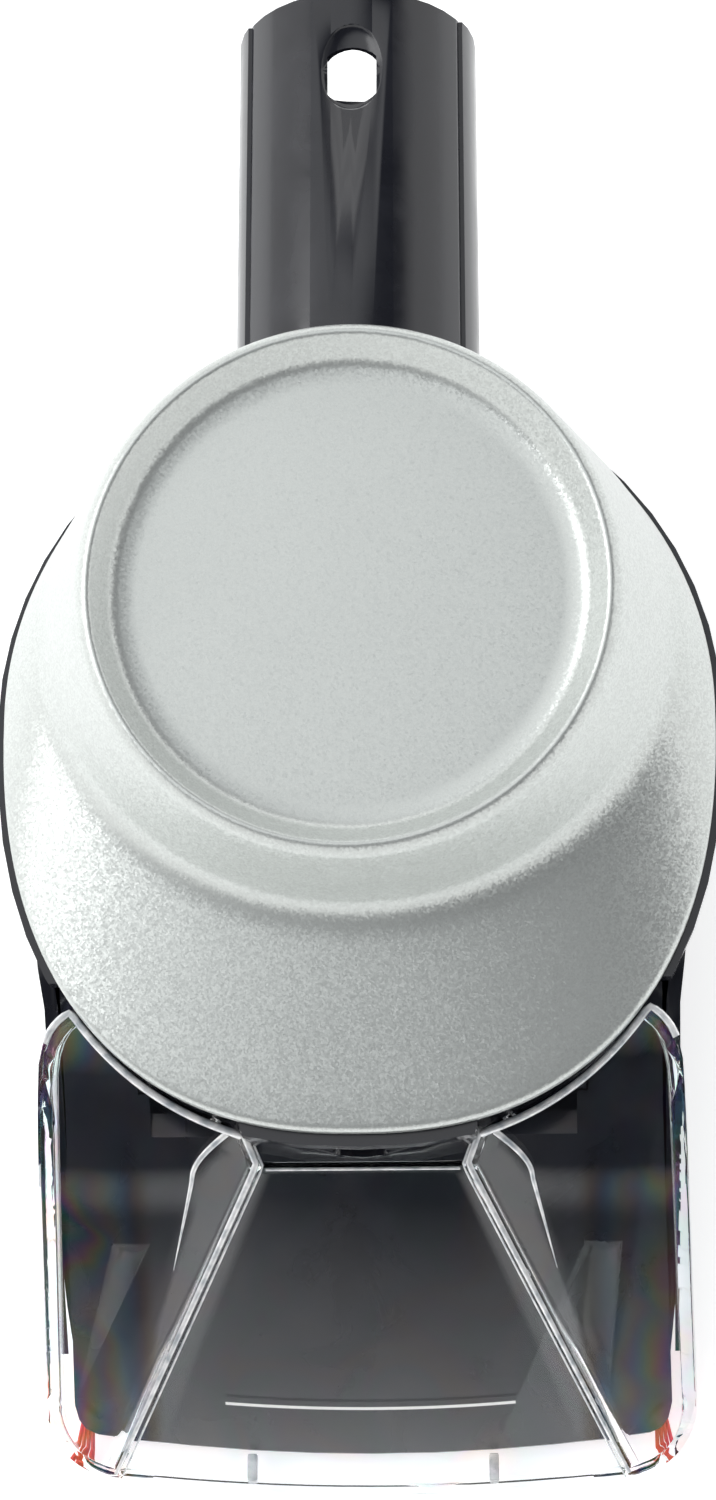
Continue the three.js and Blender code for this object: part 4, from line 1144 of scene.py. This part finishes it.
class HOSETOOL_OT_bristles(bpy.types.Operator):
    """Build the strip of red bristles"""

    bl_idname = "hosetool.bristles"
    bl_label = "Bristles"

    def execute(self, context):
        looks, sizes = context.scene.hose_tool_looks, context.scene.hose_tool_sizes
        low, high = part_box("brush_strip")
        base_top = high.z / MM
        length = sizes.bristle_length / MM
        bm = bmesh.new()
        made = bmesh.ops.create_cube(bm, size=1.0)["verts"]
        bmesh.ops.scale(bm, vec=(2 * BRUSH_HALF, 4.0, 2.0), verts=made)
        bmesh.ops.translate(bm, vec=(0, BRUSH_Y, base_top - 1.0), verts=made)
        bmesh.ops.bevel(
            bm,
            geom=bm.edges[:],
            offset=0.35,
            segments=2,
            profile=0.5,
            affect="EDGES",
            material=-1,
        )
        count = int((2 * BRUSH_HALF - 3) / TUFT_PITCH)
        for row in range(sizes.bristle_rows):
            y = BRUSH_Y + (row - (sizes.bristle_rows - 1) / 2) * TUFT_ROW_PITCH
            for i in range(count):
                x = (i - (count - 1) / 2) * TUFT_PITCH + (row % 2) * TUFT_PITCH * 0.25
                tuft = bmesh.ops.create_cone(
                    bm, cap_ends=True, segments=6, radius1=0.34, radius2=0.5, depth=length + 0.6
                )["verts"]
                sway = 0.22 * math.sin(i * 2.4 + row)
                bmesh.ops.rotate(bm, verts=tuft, matrix=Matrix.Rotation(sway * 0.3, 3, "Y"))
                z = base_top - 2.0 - length / 2 + 0.3
                bmesh.ops.translate(bm, vec=(x, y, z), verts=tuft)
        for side in (-1, 1):
            for i in range(STRAY_TUFTS):
                foot = Vector((side * (46.4 + 0.3 * i), BRUSH_Y - 1.2, base_top - 1.6))
                tip = Vector((side * (46.6 + 0.9 * i), LIP_Y + 6.0 + 0.4 * i, 1.6 + 0.1 * (i % 3)))
                self.stray_bristle(bm, foot, tip)
        lift = max(0.0, low.z / MM - min(v.co.z for v in bm.verts))
        bmesh.ops.translate(bm, vec=(0, 0, lift), verts=bm.verts)
        finish_piece("bristle_strip", bm, red_nylon(looks), "body", ("brush_strip",))
        return {"FINISHED"}

    def stray_bristle(self, bm, foot, tip):
        """A tuft at the end of the strip that splays forward, under the corner of the cover."""
        along_tuft = tip - foot
        tuft = bmesh.ops.create_cone(
            bm, cap_ends=True, segments=6, radius1=0.34, radius2=0.4, depth=along_tuft.length
        )["verts"]
        turn = along_tuft.to_track_quat("Z", "Y").to_matrix()
        bmesh.ops.rotate(bm, verts=tuft, matrix=turn)
        bmesh.ops.translate(bm, vec=(foot + tip) / 2, verts=tuft)


class HOSETOOL_OT_small_parts(bpy.types.Operator):
    """Give the seals, ducts, tube and screws their finishes"""

    bl_idname = "hosetool.small_parts"
    bl_label = "Small Parts"

    def execute(self, context):
        looks = context.scene.hose_tool_looks
        makers = {
            "black_abs": black_gloss_abs,
            "rubber": nitrile_rubber,
            "tube_silicone": silicone_hose,
            "screw_steel": plated_steel,
            "red_nylon": red_nylon,
            "clear_styrene": clear_styrene,
            "silver_abs": silver_flake_abs,
        }
        for row in frame["record"]["subparts"]:
            mesh = frame["nodes"][row["node"]].data
            mesh.materials.clear()
            mesh.materials.append(makers[row["material_slot"]](looks))
        return {"FINISHED"}


class HOSETOOL_PT_panel(bpy.types.Panel):
    """Lists the steps in the order they run"""

    bl_idname = "HOSETOOL_PT_panel"
    bl_label = "Hose Tool"
    bl_space_type = "VIEW_3D"
    bl_region_type = "UI"
    bl_category = "Hose Tool"

    def draw(self, context):
        for group in (
            context.scene.hose_tool_sizes,
            context.scene.hose_tool_looks,
            context.scene.hose_tool_studio,
        ):
            box = self.layout.box()
            for key in group.bl_rna.properties.keys():
                if key not in ("rna_type", "name"):
                    box.prop(group, key)
        for step in STEPS:
            self.layout.operator(step.bl_idname)


STEPS = (
    HOSETOOL_OT_stage,
    HOSETOOL_OT_small_parts,
    HOSETOOL_OT_shells,
    HOSETOOL_OT_bristles,
    HOSETOOL_OT_cover,
    HOSETOOL_OT_tank,
)
GROUPS = (HoseToolSizes, HoseToolLooks, HoseToolStudio)


def register():
    for cls in (*GROUPS, *STEPS, HOSETOOL_PT_panel):
        bpy.utils.register_class(cls)
    bpy.types.Scene.hose_tool_sizes = bpy.props.PointerProperty(type=HoseToolSizes)
    bpy.types.Scene.hose_tool_looks = bpy.props.PointerProperty(type=HoseToolLooks)
    bpy.types.Scene.hose_tool_studio = bpy.props.PointerProperty(type=HoseToolStudio)


def unregister():
    del bpy.types.Scene.hose_tool_sizes
    del bpy.types.Scene.hose_tool_looks
    del bpy.types.Scene.hose_tool_studio
    for cls in (HOSETOOL_PT_panel, *reversed(STEPS), *reversed(GROUPS)):
        bpy.utils.unregister_class(cls)


def main():
    register()
    bpy.ops.hosetool.stage()
    bpy.ops.hosetool.small_parts()
    bpy.ops.hosetool.shells()
    bpy.ops.hosetool.bristles()
    bpy.ops.hosetool.cover()
    bpy.ops.hosetool.tank()


if __name__ == "__main__":
    main()
